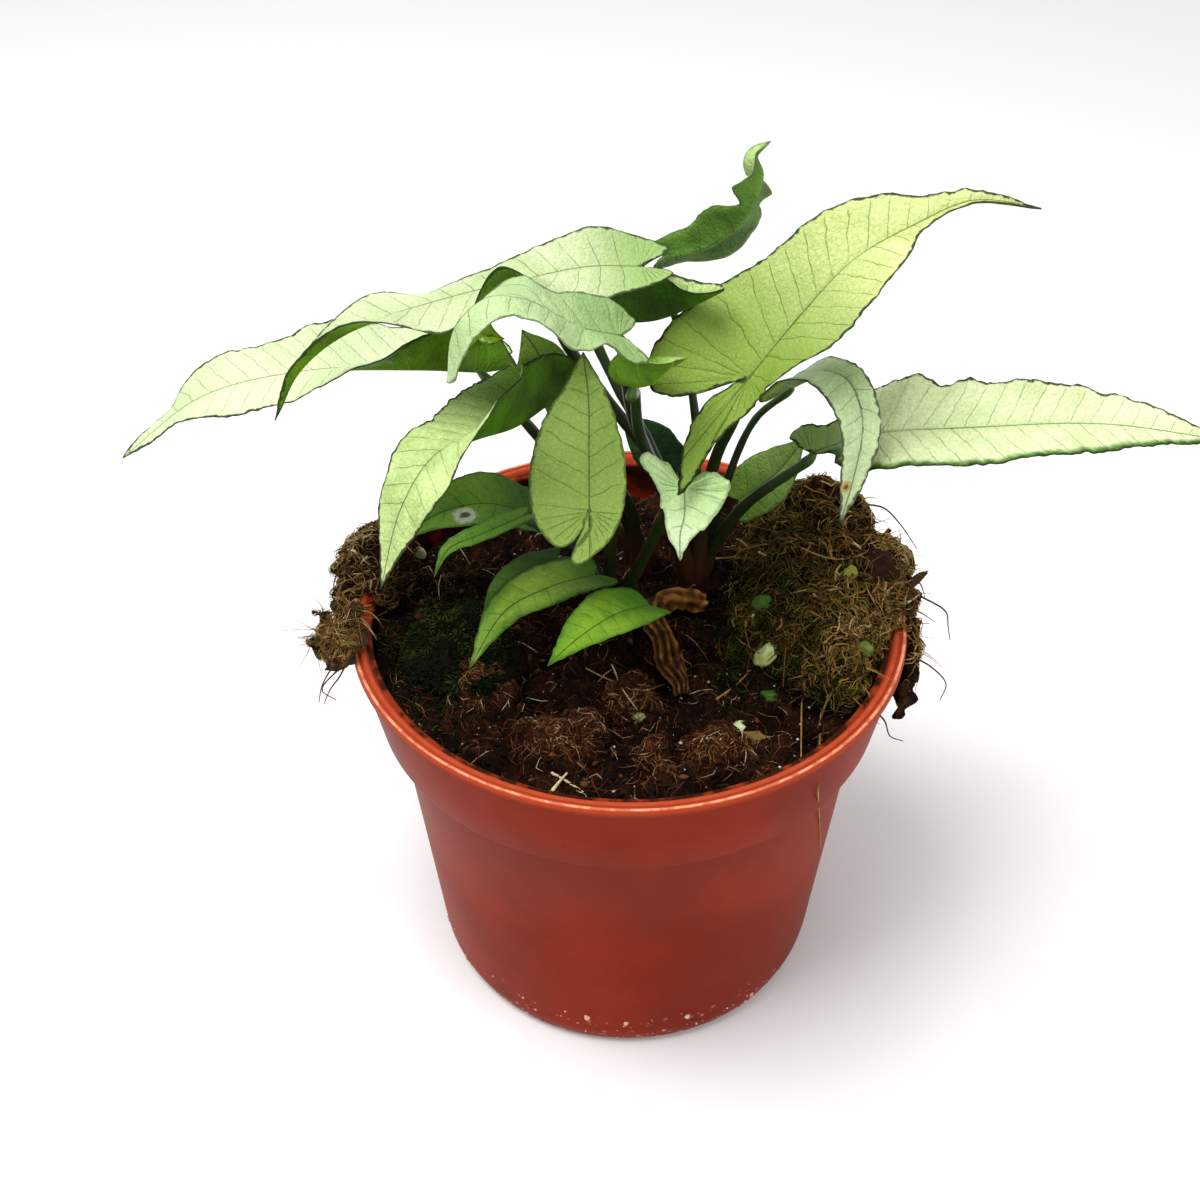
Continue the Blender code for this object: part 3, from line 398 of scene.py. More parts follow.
# The withered sheath's route over the peat as (x, y, height above it), in mm
SHEATH_ROUTE = [
    (17, 6, 1.5), (12.5, 4.5, 4.5), (7, 2.5, 5.0), (5.5, -2, 4.5), (7.5, -9, 3.2),
    (9.5, -16, 2.4), (11, -23, 1.2),
]
# Beds of moss on the peat as middle x and y and half widths, in mm
MOSS_BED_LEFT = (-43.0, -4.0, 18.0, 30.0)
MOSS_BED_RIGHT = (23.0, -6.0, 9.0, 20.0)
# Clods of coir on the peat: pixel of the middle, then half widths across and away and height in mm
CLODS = {
    "clod_left": (484, 692, 7.0, 7.0, 4.5),
    "clod_middle": (560, 742, 11.0, 8.0, 4.0),
    "clod_centre": (630, 700, 7.0, 6.0, 2.5),
    "clod_right": (716, 752, 9.0, 6.0, 4.5),
    "clod_front": (655, 765, 5.0, 6.0, 3.5),
    "clod_crown": (585, 640, 7.0, 5.0, 2.0),
}
# Straws as the pixels that they run through
STRAWS = {
    "straw_front": [(552, 775), (566, 783), (583, 794)],
    "straw_cross": [(553, 792), (561, 782), (567, 775)],
}


# Shader helpers

def linear(colour):
    """Turn a display colour, 0 to 255, into the linear one that a shader takes."""
    shares = [c / 255 for c in colour]
    return (*[c / 12.92 if c <= 0.04045 else ((c + 0.055) / 1.055) ** 2.4 for c in shares], 1.0)


def put(tree, kind, inputs=None, **settings):
    """A node with its settings and its inputs, each a link or a plain value."""
    node = tree.nodes.new("ShaderNode" + kind)
    for name, value in settings.items():
        setattr(node, name, value)
    for name, value in (inputs or {}).items():
        if isinstance(value, bpy.types.NodeSocket):
            tree.links.new(value, node.inputs[name])
        else:
            node.inputs[name].default_value = value
    return node


def calc(tree, kind, *values):
    """The result of a Math node."""
    return put(tree, "Math", dict(enumerate(values)), operation=kind).outputs[0]


def times(tree, first, second):
    """A product."""
    return calc(tree, "MULTIPLY", first, second)


def plus(tree, first, second):
    """A sum."""
    return calc(tree, "ADD", first, second)


def minus(tree, first, second):
    """A difference."""
    return calc(tree, "SUBTRACT", first, second)


def centred(tree, value, depth):
    """Noise moved to swing about zero, depth in all."""
    return times(tree, minus(tree, value, 0.5), depth)


def band(tree, value, low, high, start=0.0, end=1.0):
    """A value read smoothly from low to high as start to end."""
    inputs = {"Value": value, "From Min": low, "From Max": high, "To Min": start, "To Max": end}
    return put(tree, "MapRange", inputs, interpolation_type="SMOOTHSTEP").outputs[0]


def band_mm(tree, value, low, high, start=0.0, end=1.0):
    """A length in metres read smoothly between two in mm."""
    return band(tree, value, low * MM, high * MM, start, end)


def scaled(tree, place, scale):
    """A place stretched or squashed along its axes."""
    return put(tree, "VectorMath", {0: place, 1: scale}, operation="MULTIPLY").outputs[0]


def blend(tree, share, first, second):
    """Two colours mixed by a share."""
    return put(tree, "Mix", {0: share, 6: first, 7: second}, data_type="RGBA").outputs[2]


def tint(tree, colour, mask, strength, paint):
    """A colour painted over with another, display or linear, where a mask is high."""
    paint = linear(paint) if len(paint) == 3 else paint
    return blend(tree, times(tree, mask, strength), colour, paint)


def grain(tree, place, scale, detail=3.0, rough=0.55):
    """Noise at a scale in features per unit of the place."""
    inputs = {"Vector": place, "Scale": scale, "Detail": detail, "Roughness": rough}
    return put(tree, "TexNoise", inputs).outputs[0]


def colour_ramp(tree, value, stops):
    """Colours read along a value, from stops of position to colour."""
    node = put(tree, "ValToRGB", {0: value})
    elements = node.color_ramp.elements
    while len(elements) < len(stops):
        elements.new(0.5)
    for element, (position, colour) in zip(elements, stops.items()):
        element.position = position
        element.color = linear(colour)
    return node.outputs[0]


def attribute(tree, name):
    """A stored attribute of the mesh."""
    return put(tree, "Attribute", attribute_name=name)


def bump(tree, shader, height, distance, strength=1.0):
    """Drive the shader's normal by a height, with the relief's depth in metres."""
    node = put(tree, "Bump", {"Height": height, "Distance": distance, "Strength": strength})
    tree.links.new(node.outputs[0], shader.inputs["Normal"])


def new_material(name, roughness=0.5, shine=0.3):
    """A material with its tree, its shader and the object's own coordinates."""
    mat = bpy.data.materials.new(name)
    mat.use_nodes = True
    tree = mat.node_tree
    shader = tree.nodes["Principled BSDF"]
    shader.inputs["Roughness"].default_value = roughness
    shader.inputs["Specular IOR Level"].default_value = shine
    place = put(tree, "TexCoord").outputs["Object"]
    return mat, tree, shader, place


def set_colour(tree, shader, colour):
    """Drive the shader's colour."""
    tree.links.new(colour, shader.inputs["Base Color"])


# Curves and the leaf surface

def unit(vectors):
    """Vectors of length one."""
    return vectors / np.maximum(np.linalg.norm(vectors, axis=-1, keepdims=True), 1e-9)


def smooth_path(points, count):
    """A curve through the points, sampled at equal steps of its length, and that length."""
    points = np.asarray(points, float)
    chord = np.linalg.norm(np.diff(points, axis=0), axis=1) ** 0.5
    knots = np.concatenate([[0.0], np.cumsum(chord)])
    gap = np.diff(knots)[:, None]
    slope = np.diff(points, axis=0) / gap
    tangent = np.empty_like(points)
    tangent[1:-1] = (slope[1:] * gap[:-1] + slope[:-1] * gap[1:]) / (gap[:-1] + gap[1:])
    tangent[0] = slope[0]
    tangent[-1] = slope[-1]
    fine = np.linspace(0.0, knots[-1], CURVE_SAMPLES)
    span = np.clip(np.searchsorted(knots, fine, side="right") - 1, 0, len(points) - 2)
    width = gap[span]
    t = ((fine - knots[span]) / width[:, 0])[:, None]
    dense = (
        (2 * t**3 - 3 * t**2 + 1) * points[span]
        + (t**3 - 2 * t**2 + t) * width * tangent[span]
        + (3 * t**2 - 2 * t**3) * points[span + 1]
        + (t**3 - t**2) * width * tangent[span + 1]
    )
    run = np.concatenate([[0.0], np.cumsum(np.linalg.norm(np.diff(dense, axis=0), axis=1))])
    even = np.linspace(0.0, run[-1], count)
    path = np.stack([np.interp(even, run, dense[:, axis]) for axis in range(3)], axis=1)
    return path, run[-1]


def ramp(values, at):
    """Values spread evenly from 0 to 1, read between them."""
    return np.interp(at, np.linspace(0.0, 1.0, len(values)), values)


def rib_frame(leaf):
    """The midrib of a leaf, with its direction, the side its upper face looks to, and its right."""
    rib, length = smooth_path(leaf["rib"], RIB_SAMPLES)
    along = unit(np.gradient(rib, axis=0))
    up = np.zeros_like(rib)
    look = np.array(leaf["face"], float)
    for index, direction in enumerate(along):
        look = unit(look - direction * (look @ direction))
        up[index] = look
    turn = np.radians(ramp(leaf.get("twist", (0, 0)), np.linspace(0, 1, len(rib))))[:, None]
    right = np.cross(along, up)
    up = up * np.cos(turn) + right * np.sin(turn)
    return rib, length, along, up, np.cross(along, up)


def half_outline(leaf, side, rows):
    """One half's margin from the petiole round the lobe to the tip, as shares of length and width."""
    lobe, widest, belly = leaf.get("lobe", 0.1), leaf.get("widest", 0.25), leaf.get("belly", 2.0)
    points = [(0, 0), (-0.62 * lobe, LOBE_INNER), (-lobe, LOBE_BACK), (-0.55 * lobe, 0.5 + 0.5 * LOBE_BACK)]
    points.append((widest, 1))
    for share in np.linspace(0, 1, 7)[1:]:
        points.append((widest + (1 - widest) * share, max(0.0, 1 - share**belly) ** TAPER))
    points = leaf.get("outline_" + side, points)
    path, _ = smooth_path([(s, t * OUTLINE_FLAT, 0) for s, t in points], rows + 1)
    return path[1:, 0], path[1:, 1] / OUTLINE_FLAT


def rough_at(points, scale, seed):
    """Smooth noise from -1 to 1 at points, with features of scale mm."""
    shift = Vector((seed, 0.37 * seed, 0.71 * seed))
    flat = np.reshape(points, (-1, 3))
    found = [noise.noise(Vector(point) / scale + shift) for point in flat]
    return np.reshape(found, np.shape(points)[:-1])


def jagged(margin, depth, seed):
    """A margin of flat (along, across) points, pushed in and out into fine uneven teeth."""
    step = np.gradient(margin, axis=0)
    outward = unit(np.stack([step[:, 1], -step[:, 0]], axis=1))
    outward[:, 1] = np.abs(outward[:, 1])
    run = np.cumsum(np.linalg.norm(step, axis=1))
    line = np.stack([run, np.zeros_like(run), np.zeros_like(run)], axis=1)
    teeth = 1.3 * rough_at(line, 1.3, seed) + 0.8 * rough_at(line, 3.4, seed + 5)
    ease = np.clip(np.linspace(0, 12, len(run)), 0, 1) * np.clip(np.linspace(16, 0, len(run)), 0, 1)
    return margin + outward * (depth * teeth * ease)[:, None]


def side_veins(inner, margin, length):
    """Each row's place in the count of side veins: even along the midrib, and fanned in the lobe."""
    angle = np.unwrap(np.arctan2(margin[:, 1], margin[:, 0] - inner))
    along = np.abs(np.gradient(inner)) / VEIN_GAP
    turn = np.abs(np.gradient(np.degrees(angle))) / VEIN_TURN
    return np.cumsum(np.maximum(along, np.where(inner > 0.02 * length, 0, turn)))


def blade_lift(leaf, side, margin_s, t, out, angle):
    """How far a column of the blade stands off its plane: folded, rippled and waved."""
    down = np.linspace(0, 1, len(t))
    lift = t * np.sin(angle)
    for ripple_side, centre, height, spread in leaf.get("ripples", ()):
        if ripple_side == side:
            lift = lift + height * out**1.5 * np.exp(-(((margin_s - centre) / spread) ** 2))
    turns = 2 * math.pi * leaf.get("waves", 3) * down + WAVE_SHIFT * (side == "right")
    swell = np.sqrt(np.sin(math.pi * down).clip(0, 1))
    return lift + leaf.get("wave", 0) * out**1.6 * swell * np.sin(turns)


def leaf_surface(leaf, look, rows, columns, seed):
    """A leaf's upper face: points, normals, flat places, vein places and thickness, row by row."""
    rib, length, *axes = rib_frame(leaf)
    shape = (rows, 2 * columns + 1)
    grid, facing, flat, vein = (np.zeros((*shape, 3)) for _ in range(4))
    thick = np.zeros(shape)
    for sign, side in ((-1, "left"), (1, "right")):
        reach = leaf["width"] / 2 * leaf.get("share_" + side, 1.0)
        margin_s, margin_t = half_outline(leaf, side, rows)
        margin = np.stack([margin_s * length, margin_t * reach], axis=1)
        margin = jagged(margin, look.get("jag", 0.2), seed + sign)
        lean = VEIN_LEAN * margin[:, 1] / length * np.clip(4 * margin[:, 0] / length, 0, 1)
        inner_s = np.clip(margin[:, 0] / length - lean, 0, 1)
        count = side_veins(inner_s * length, margin, length)
        fold = leaf.get("fold_" + side, leaf.get("fold", (10, 10)))
        for column in range(columns + 1):
            out = (column / columns) ** 1.25
            s = inner_s * (1 - out) + margin[:, 0] / length * out
            t = margin[:, 1] * out
            on_rib = np.clip(s, 0, 1)
            place = on_rib * (len(rib) - 1)
            low = np.clip(place.astype(int), 0, len(rib) - 2)
            part = (place - low)[:, None]
            here, ahead, above, beside = (
                values[low] * (1 - part) + values[low + 1] * part for values in (rib, *axes)
            )
            near_petiole = np.clip(np.hypot(s * length, t) / FLAT_BASE, 0, 1)
            lobe_share = 1 - LOBE_EASE * np.clip(-s * length / FLAT_BASE, 0, 1)
            angle = np.radians(ramp(fold, on_rib)) * near_petiole * lobe_share
            above, beside = unit(above), unit(beside) * sign
            point = (
                here
                + unit(ahead) * (np.minimum(s, 0) * length)[:, None]
                + beside * (t * np.cos(angle))[:, None]
                + above * blade_lift(leaf, side, margin_s, t, out, angle)[:, None]
            )
            bend = (angle * min(1, 2 * out))[:, None]
            line = np.stack([s * length, t], axis=1)
            to_margin = np.linalg.norm(line[:, None] - margin[None], axis=2).min(axis=1)
            index = columns + sign * column
            grid[:, index] = point
            facing[:, index] = above * np.cos(bend) - beside * np.sin(bend)
            flat[:, index] = np.stack([s * length, sign * t, np.full(rows, seed)], axis=1)
            vein[:, index, 0] = count
            vein[:, index, 2] = to_margin
            keel = np.exp(-((t / 0.7) ** 2)) * (1 - 0.85 * on_rib)
            thick[:, index] = (BLADE_THICK + KEEL_THICK * keel) * np.clip(0.4 + to_margin, 0, 1)
    step = np.linalg.norm(np.gradient(flat, axis=0), axis=2)
    per_count = np.abs(np.gradient(vein[:, :, 0], axis=0))
    vein[:, :, 1] = np.clip(step / np.maximum(per_count, 1e-3), 0.3, 12)
    relief = blade_relief(grid, flat, vein, seed, look.get("crinkle", 0.09))
    return grid + facing * relief[:, :, None], facing, flat, vein, thick


def blade_relief(grid, flat, vein, seed, crinkle_depth):
    """The fine relief of a blade in mm: sunk midrib and side veins, soft cushions and a fine crinkle."""
    across = np.abs(flat[:, :, 1])
    near_rib = np.exp(-((across / 0.6) ** 2))
    off_vein = np.abs(vein[:, :, 0] % 1 - 0.5) * vein[:, :, 1]
    inside = np.clip(vein[:, :, 2] / 1.5, 0, 1)
    groove = np.exp(-((off_vein / 0.4) ** 2)) * inside * (1 - near_rib)
    cushion = np.cos(2 * math.pi * vein[:, :, 0]) * inside * np.clip(across / 2, 0, 1)
    swell = rough_at(grid, 7.0, seed) * np.clip(across / 4, 0, 1)
    crinkle = rough_at(grid, 1.6, seed + 3) * np.clip(across, 0, 1)
    return -0.2 * near_rib - 0.05 * groove + 0.06 * cushion + 0.6 * swell + crinkle_depth * crinkle


def add_object(name, data, mat=None, slot=None):
    """Link new data to the scene, as a piece of the plant that rides on its one body."""
    obj = bpy.data.objects.new(name, data)
    bpy.context.scene.collection.objects.link(obj)
    if mat is not None:
        data.materials.append(mat)
    if slot is not None:
        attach(obj, "root")
    return obj


def set_attribute(mesh, name, values, kind="FLOAT"):
    """Store a value for each point of a mesh."""
    key = "vector" if kind == "FLOAT_VECTOR" else "value"
    layer = mesh.attributes.new(name, kind, "POINT")
    layer.data.foreach_set(key, np.asarray(values, np.float32).ravel())


def both_faces(upper, lower):
    """The points of a sheet's upper face and then those of its lower one, in one list."""
    return np.concatenate([upper.reshape(-1, 3), lower.reshape(-1, 3)])


def sheet_faces(rows, width):
    """Faces of a closed sheet with a grid on each side, the lower one numbered after the upper."""
    count = rows * width
    index = np.arange(count).reshape(rows, width)
    corners = [index[:-1, :-1], index[:-1, 1:], index[1:, 1:], index[1:, :-1]]
    quads = np.stack(corners, axis=2).reshape(-1, 4)
    ring = [*index[0], *index[1:, -1], *index[-1, -2::-1], *index[-2:0:-1, 0]]
    rim = [(a, b, b + count, a + count) for a, b in zip(ring, ring[1:] + ring[:1])]
    return [*map(tuple, quads[:, ::-1]), *map(tuple, quads + count), *rim]


def closed_mesh(name, points, faces, layers, merge=0.000004):
    """A smooth closed mesh from points in metres, with attributes, merged points and outward faces."""
    mesh = bpy.data.meshes.new(name)
    mesh.from_pydata([tuple(point) for point in points], [], [tuple(map(int, face)) for face in faces])
    for layer, values, kind in layers:
        set_attribute(mesh, layer, values, kind)
    work = bmesh.new()
    work.from_mesh(mesh)
    if merge:
        bmesh.ops.remove_doubles(work, verts=work.verts, dist=merge)
    bmesh.ops.recalc_face_normals(work, faces=work.faces)
    for face in work.faces:
        face.smooth = True
    work.to_mesh(mesh)
    work.free()
    return mesh


def make_leaf(name, leaf, look, seed):
    """A finely meshed leaf blade that stands for its solid."""
    length = smooth_path(leaf["rib"], RIB_SAMPLES)[1]
    rows = int(np.clip(2.4 * length, 60, 230))
    columns = int(np.clip(leaf["width"] / 2 + 3, 6, 16))
    grid, facing, flat, vein, thick = leaf_surface(leaf, look, rows, columns, seed)
    points = both_faces(grid, grid - facing * thick[:, :, None]) * MM
    count = len(points) // 2
    layers = [
        ("flat", both_faces(flat, flat), "FLOAT_VECTOR"),
        ("vein", both_faces(vein, vein), "FLOAT_VECTOR"),
        ("under", np.repeat((0.0, 1.0), count), "FLOAT"),
    ]
    mesh = closed_mesh(name, points, sheet_faces(*grid.shape[:2]), layers)
    obj = add_object(name + "_blade", mesh, leaf_material(name, look), look["slot"])
    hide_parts(name)
    return obj


def leaf_masks(tree, look, place):
    """Where a blade has its veins, margin, petiole end and noise, by name, each from 0 to 1 or in mm."""
    flat = attribute(tree, "flat").outputs["Vector"]
    along, across, _ = put(tree, "SeparateXYZ", {0: flat}).outputs
    vein = attribute(tree, "vein").outputs["Vector"]
    count, per_count, to_margin = put(tree, "SeparateXYZ", {0: vein}).outputs
    off_rib = calc(tree, "ABSOLUTE", across)
    soft = grain(tree, place, 130.0, 2.0)
    count = calc(tree, "FRACT", plus(tree, count, centred(tree, grain(tree, flat, 0.35, 2.0), 0.3)))
    off_vein = times(tree, calc(tree, "ABSOLUTE", minus(tree, count, 0.5)), per_count)
    side = times(tree, band(tree, off_vein, 0.01, 0.12, 1, 0), band(tree, to_margin, 0.2, 2.0))
    shift = put(tree, "TexNoise", {"Vector": flat, "Scale": 0.8}).outputs[1]
    bent = put(tree, "VectorMath", {0: flat, 1: shift}).outputs[0]
    cells = put(tree, "TexVoronoi", {"Vector": bent, "Scale": 0.85}, feature="DISTANCE_TO_EDGE")
    uneven = plus(tree, to_margin, centred(tree, grain(tree, place, 600.0, 2.0), 1.5))
    collect = calc(tree, "ABSOLUTE", minus(tree, uneven, 1.9))
    return {
        "across": across,
        "from_edge": uneven,
        "soft": soft,
        "fine": grain(tree, place, 1300.0, 3.0),
        "side": times(tree, side, band(tree, soft, 0.3, 0.6, 0.35, 1)),
        "rib": band(tree, off_rib, 0.06, 0.24, 1, 0),
        "halo": band(tree, off_rib, 0.3, 3.0, 1, 0),
        "net": band(tree, cells.outputs[0], 0.0, 0.13, 1, 0),
        "loop": band(tree, collect, 0.04, 0.2, 1, 0),
        "edge": band(tree, uneven, 0.2, 0.6, 1, 0),
        # The petiole end, over the look's reach in mm, where the upper face gets its painted shade
        "petiole": band(tree, along, 0.0, look.get("shade_reach", 20.0), 1, 0),
    }


def upper_face(tree, look, place, masks):
    """The upper face's colour: pale, deeper at the petiole as painted shade, deeper at the midrib and in
    blotches, with a painted sheen in patches and dark veins.
    """
    top, deep, veins = linear(look["top"]), linear(look["deep"]), look.get("veins", 0.6)
    dark_vein = linear([0.5 * c for c in look["deep"]])
    blotch = times(tree, band(tree, masks["soft"], 0.42, 0.66), look.get("blotch", 0.3))
    # Painted shade toward the petiole, taken together with the blotches
    share = calc(tree, "MAXIMUM", masks["petiole"], blotch)
    if "edge_reach" in look:
        near_edge = band(tree, masks["from_edge"], 0.4, look["edge_reach"], 1, 0)
        share = calc(tree, "MAXIMUM", share, times(tree, near_edge, 0.85))
    share = calc(tree, "MAXIMUM", share, times(tree, masks["halo"], 0.2))
    colour = blend(tree, share, top, deep)
    colour = tint(tree, colour, band(tree, masks["fine"], 0.4, 0.7), 0.3, deep)
    # Painted sheen: paler patches of the upper face, kept off the petiole end
    painted_sheen = times(tree, band(tree, grain(tree, place, 55.0, 2.0), 0.45, 0.68), 0.45)
    pale = [min(255, c + 26) for c in look["top"]]
    colour = tint(tree, colour, minus(tree, 1.0, masks["petiole"]), painted_sheen, pale)
    strengths = {"net": 0.12 * veins, "loop": 0.06 * veins, "side": 0.2 * veins, "rib": 0.75}
    for name, strength in strengths.items():
        colour = tint(tree, colour, masks[name], strength, dark_vein)
    return colour


def lower_face(tree, look, masks):
    """The lower face's colour: a fuller green with paler veins."""
    shades = {share: linear([share * c for c in look["under"]]) for share in (0.72, 1.0, 1.25, 1.35)}
    colour = blend(tree, band(tree, masks["soft"], 0.35, 0.7), shades[1.0], shades[0.72])
    colour = tint(tree, colour, masks["side"], 0.35, shades[1.25])
    return tint(tree, colour, masks["rib"], 0.5, shades[1.35])


def leaf_material(name, look):
    """A satin leaf: pale upper face with a net of veins, a greener lower face and a dark margin."""
    mat, tree, shader, place = new_material(name + "_look", 0.46, 0.2)
    masks = leaf_masks(tree, look, place)
    lower = attribute(tree, "under").outputs["Fac"]
    colour = blend(tree, lower, upper_face(tree, look, place, masks), lower_face(tree, look, masks))
    if "fringe" in look:
        fringe = band(tree, masks["from_edge"], 0.6, 2.2, 1, 0)
        colour = tint(tree, colour, fringe, band(tree, masks["across"], 0.0, 2.0), look["fringe"])
    colour = tint(tree, colour, masks["edge"], look["margin"], LEAF_EDGE)
    for centre, radius, tone, rim in look.get("spots", ()):
        away = put(tree, "VectorMath", {0: place, 1: tuple(centre)}, operation="DISTANCE").outputs["Value"]
        away = plus(tree, away, centred(tree, masks["fine"], 0.5 * radius))
        colour = blend(tree, band(tree, away, 0.8 * radius, 1.15 * radius, 1, 0), colour, linear(rim))
        colour = blend(tree, band(tree, away, 0.3 * radius, 0.5 * radius, 1, 0), colour, linear(tone))
    set_colour(tree, shader, colour)
    tree.links.new(band(tree, masks["fine"], 0.2, 0.8, 0.42, 0.6), shader.inputs["Roughness"])
    height = minus(tree, times(tree, masks["fine"], 0.7), times(tree, masks["net"], 0.12))
    bump(tree, shader, minus(tree, height, times(tree, masks["side"], 0.5)), 0.0005)
    return mat


# Small closed shapes gathered in one mesh

def ring_frame(path):
    """Two directions across a path at each of its points."""
    along = unit(np.gradient(path, axis=0))
    reference = np.zeros(3)
    reference[np.argmin(np.abs(along).mean(axis=0))] = 1.0
    side = unit(np.cross(along, reference))
    return side, np.cross(along, side)


def stray_vector(rng, spread=(1, 1, 1)):
    """A random vector, spread its own way along each axis."""
    return Vector([rng.gauss(0, wide) for wide in spread])


class Heap:
    """Many small closed shapes in one mesh, each point with a tone from 0 to 1."""

    def __init__(self):
        self.points = []
        self.faces = []
        self.tones = []
        self.count = 0

    def add(self, points, faces, tones):
        """One closed shape, in mm."""
        self.points.append(np.asarray(points, float))
        self.faces.append([tuple(index + self.count for index in face) for face in faces])
        self.tones.append(np.broadcast_to(tones, len(points)).astype(float))
        self.count += len(points)

    def tube(self, path, radii, tones, sides=4):
        """A round strand along a path, closed by a point at each end."""
        path = np.asarray(path, float)
        radii = np.broadcast_to(radii, len(path))
        across, over = ring_frame(path)
        turn = np.linspace(0, 2 * math.pi, sides, endpoint=False)
        ring = across[:, None] * np.cos(turn)[:, None] + over[:, None] * np.sin(turn)[:, None]
        rings = path[:, None] + ring * radii[:, None, None]
        step = unit(np.gradient(path, axis=0))
        ends = [path[0] - step[0] * radii[0] * 0.8, path[-1] + step[-1] * radii[-1] * 0.8]
        points = np.concatenate([rings.reshape(-1, 3), ends])
        last = len(path) - 1
        faces = []
        for row in range(last):
            for side in range(sides):
                ahead = (side + 1) % sides
                low, high = row * sides, (row + 1) * sides
                faces.append((low + side, low + ahead, high + ahead, high + side))
        for side in range(sides):
            ahead = (side + 1) % sides
            faces.append((len(points) - 2, ahead, side))
            faces.append((len(points) - 1, last * sides + side, last * sides + ahead))
        tones = np.broadcast_to(tones, len(path))
        spread = np.concatenate([np.repeat(tones, sides), [tones[0], tones[-1]]])
        self.add(points, faces, spread)

    def crumb(self, place, size, rng, tone, flat=(1, 1, 1), ball=1):
        """A rough grain, turned at random and drawn out to flat."""
        points, faces = BALLS[ball]
        shift = Vector((rng.uniform(0, 99), rng.uniform(0, 99), 0))
        turn = Matrix.Rotation(rng.uniform(0, 6.3), 3, stray_vector(rng))
        made = []
        for point in points:
            push = 1 + 0.45 * noise.noise(point * 1.7 + shift)
            made.append(turn @ Vector([point[i] * push * size * flat[i] for i in range(3)]) + Vector(place))
        self.add(made, faces, tone)

    def finish(self, name, mat, slot, replaces=()):
        """The whole heap as one piece of the plant."""
        faces = [face for group in self.faces for face in group]
        tones = np.concatenate(self.tones)
        points = np.concatenate(self.points) * MM
        mesh = closed_mesh(name, points, faces, [("tone", tones, "FLOAT")], merge=0)
        obj = add_object(name, mesh, mat, slot)
        if replaces:
            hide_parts(*replaces)
        return obj


def ball(subdivisions):
    """Points and faces of a small ball."""
    work = bmesh.new()
    bmesh.ops.create_icosphere(work, subdivisions=subdivisions, radius=1.0)
    points = [vert.co.copy() for vert in work.verts]
    faces = [tuple(vert.index for vert in face.verts) for face in work.faces]
    work.free()
    return points, faces


BALLS = {1: ball(1), 2: ball(2), 3: ball(3)}


def tone_material(name, roughness, grain_scale, stops):
    """A material coloured along each piece's tone, broken up by fine grain."""
    mat, tree, shader, place = new_material(name, roughness, 0.08)
    tone = attribute(tree, "tone").outputs["Fac"]
    fine = grain(tree, place, grain_scale, 4.0)
    set_colour(tree, shader, colour_ramp(tree, plus(tree, tone, centred(tree, fine, 0.5)), stops))
    bump(tree, shader, fine, 0.0002)
    return mat


# Surfaces that loose matter lies on

class Ground:
    """The shown surfaces of some objects, to set things on. Places and heights are in mm."""

    def __init__(self, objects):
        points, faces = [], []
        for obj in objects:
            start = len(points)
            points += [vert.co / MM for vert in obj.data.vertices]
            faces += [tuple(start + index for index in face.vertices) for face in obj.data.polygons]
        self.tree = BVHTree.FromPolygons(points, faces)
        low, high = np.min(points, axis=0), np.max(points, axis=0)
        self.centre = Vector((low + high) / 2)
        self.size = Vector(high - low)

    def below(self, x, y):
        """The surface straight under a place."""
        place, normal, _, _ = self.tree.ray_cast(Vector((x, y, 400)), Vector((0, 0, -1)))
        return place, normal

    def toward(self, start, end):
        """The first surface from start toward end."""
        place, normal, _, _ = self.tree.ray_cast(Vector(start), (Vector(end) - Vector(start)).normalized())
        return place, normal

    def seen(self, pixel_x, pixel_y):
        """The surface that the photograph shows at a pixel, or the nearest one past which it looks."""
        ray = pixel_ray(pixel_x, pixel_y)
        place, normal, _, _ = self.tree.ray_cast(EYE, ray)
        if place is None:
            found = [self.nearest(EYE + ray * reach) + (EYE + ray * reach,) for reach in range(240, 440, 4)]
            place, normal, _ = min(found, key=lambda item: (item[0] - item[2]).length)
        return place, normal

    def nearest(self, place):
        """The nearest surface to a place."""
        found, normal, _, _ = self.tree.find_nearest(Vector(place))
        return found, normal


def around(radius, turn):
    """The place at a radius and a turn about the pot's axis."""
    return radius * math.cos(turn), radius * math.sin(turn)


def view_axes():
    """The camera's right, up and back, as the photograph was taken."""
    tilt, roll = math.radians(ELEVATION), math.radians(ROLL)
    right, up = Vector((1, 0, 0)), Vector((0, math.sin(tilt), math.cos(tilt)))
    back = Vector((0, -math.cos(tilt), math.sin(tilt)))
    turned_right = right * math.cos(roll) + up * math.sin(roll)
    turned_up = up * math.cos(roll) - right * math.sin(roll)
    return turned_right, turned_up, back


VIEW_RIGHT, VIEW_UP, VIEW_BACK = view_axes()
EYE = Vector(TARGET) + VIEW_BACK * DISTANCE


def pixel_ray(pixel_x, pixel_y):
    """The direction in which the camera sees a pixel."""
    focal = IMAGE_SIZE * LENS / SENSOR
    across, down = pixel_x - IMAGE_SIZE / 2, pixel_y - IMAGE_SIZE / 2
    return (VIEW_RIGHT * across - VIEW_UP * down - VIEW_BACK * focal).normalized()


def strand(ground, start, heading, length, lift, rng, steps=7, stray=0.3):
    """A root that wanders over the ground from a place, and rises from it by lift mm in the middle."""
    place, direction = Vector(start), Vector(heading).normalized()
    path = []
    for step in range(steps):
        surface, normal = ground.nearest(place)
        rise = lift * math.sin(math.pi * step / (steps - 1))
        path.append(surface + normal * (0.15 + rise))
        direction = (direction + stray_vector(rng) * stray).normalized()
        direction = (direction - normal * direction.dot(normal)).normalized()
        place = surface + direction * (length / (steps - 1))
    return smooth_path(path, steps)[0]


def loose_end(place, normal, reach, droop, rng, steps=6):
    """A root that stands out from a place and bends over."""
    side = stray_vector(rng, (1, 1, 0.5))
    heading = (normal + side * 0.5).normalized()
    path = [place - normal * 0.6]
    for step in range(1, steps):
        share = step / (steps - 1)
        bend = side * (reach * 0.35 * share**2) - Vector((0, 0, reach * droop * share**2))
        path.append(place + heading * reach * share + bend)
    return path


# Pot

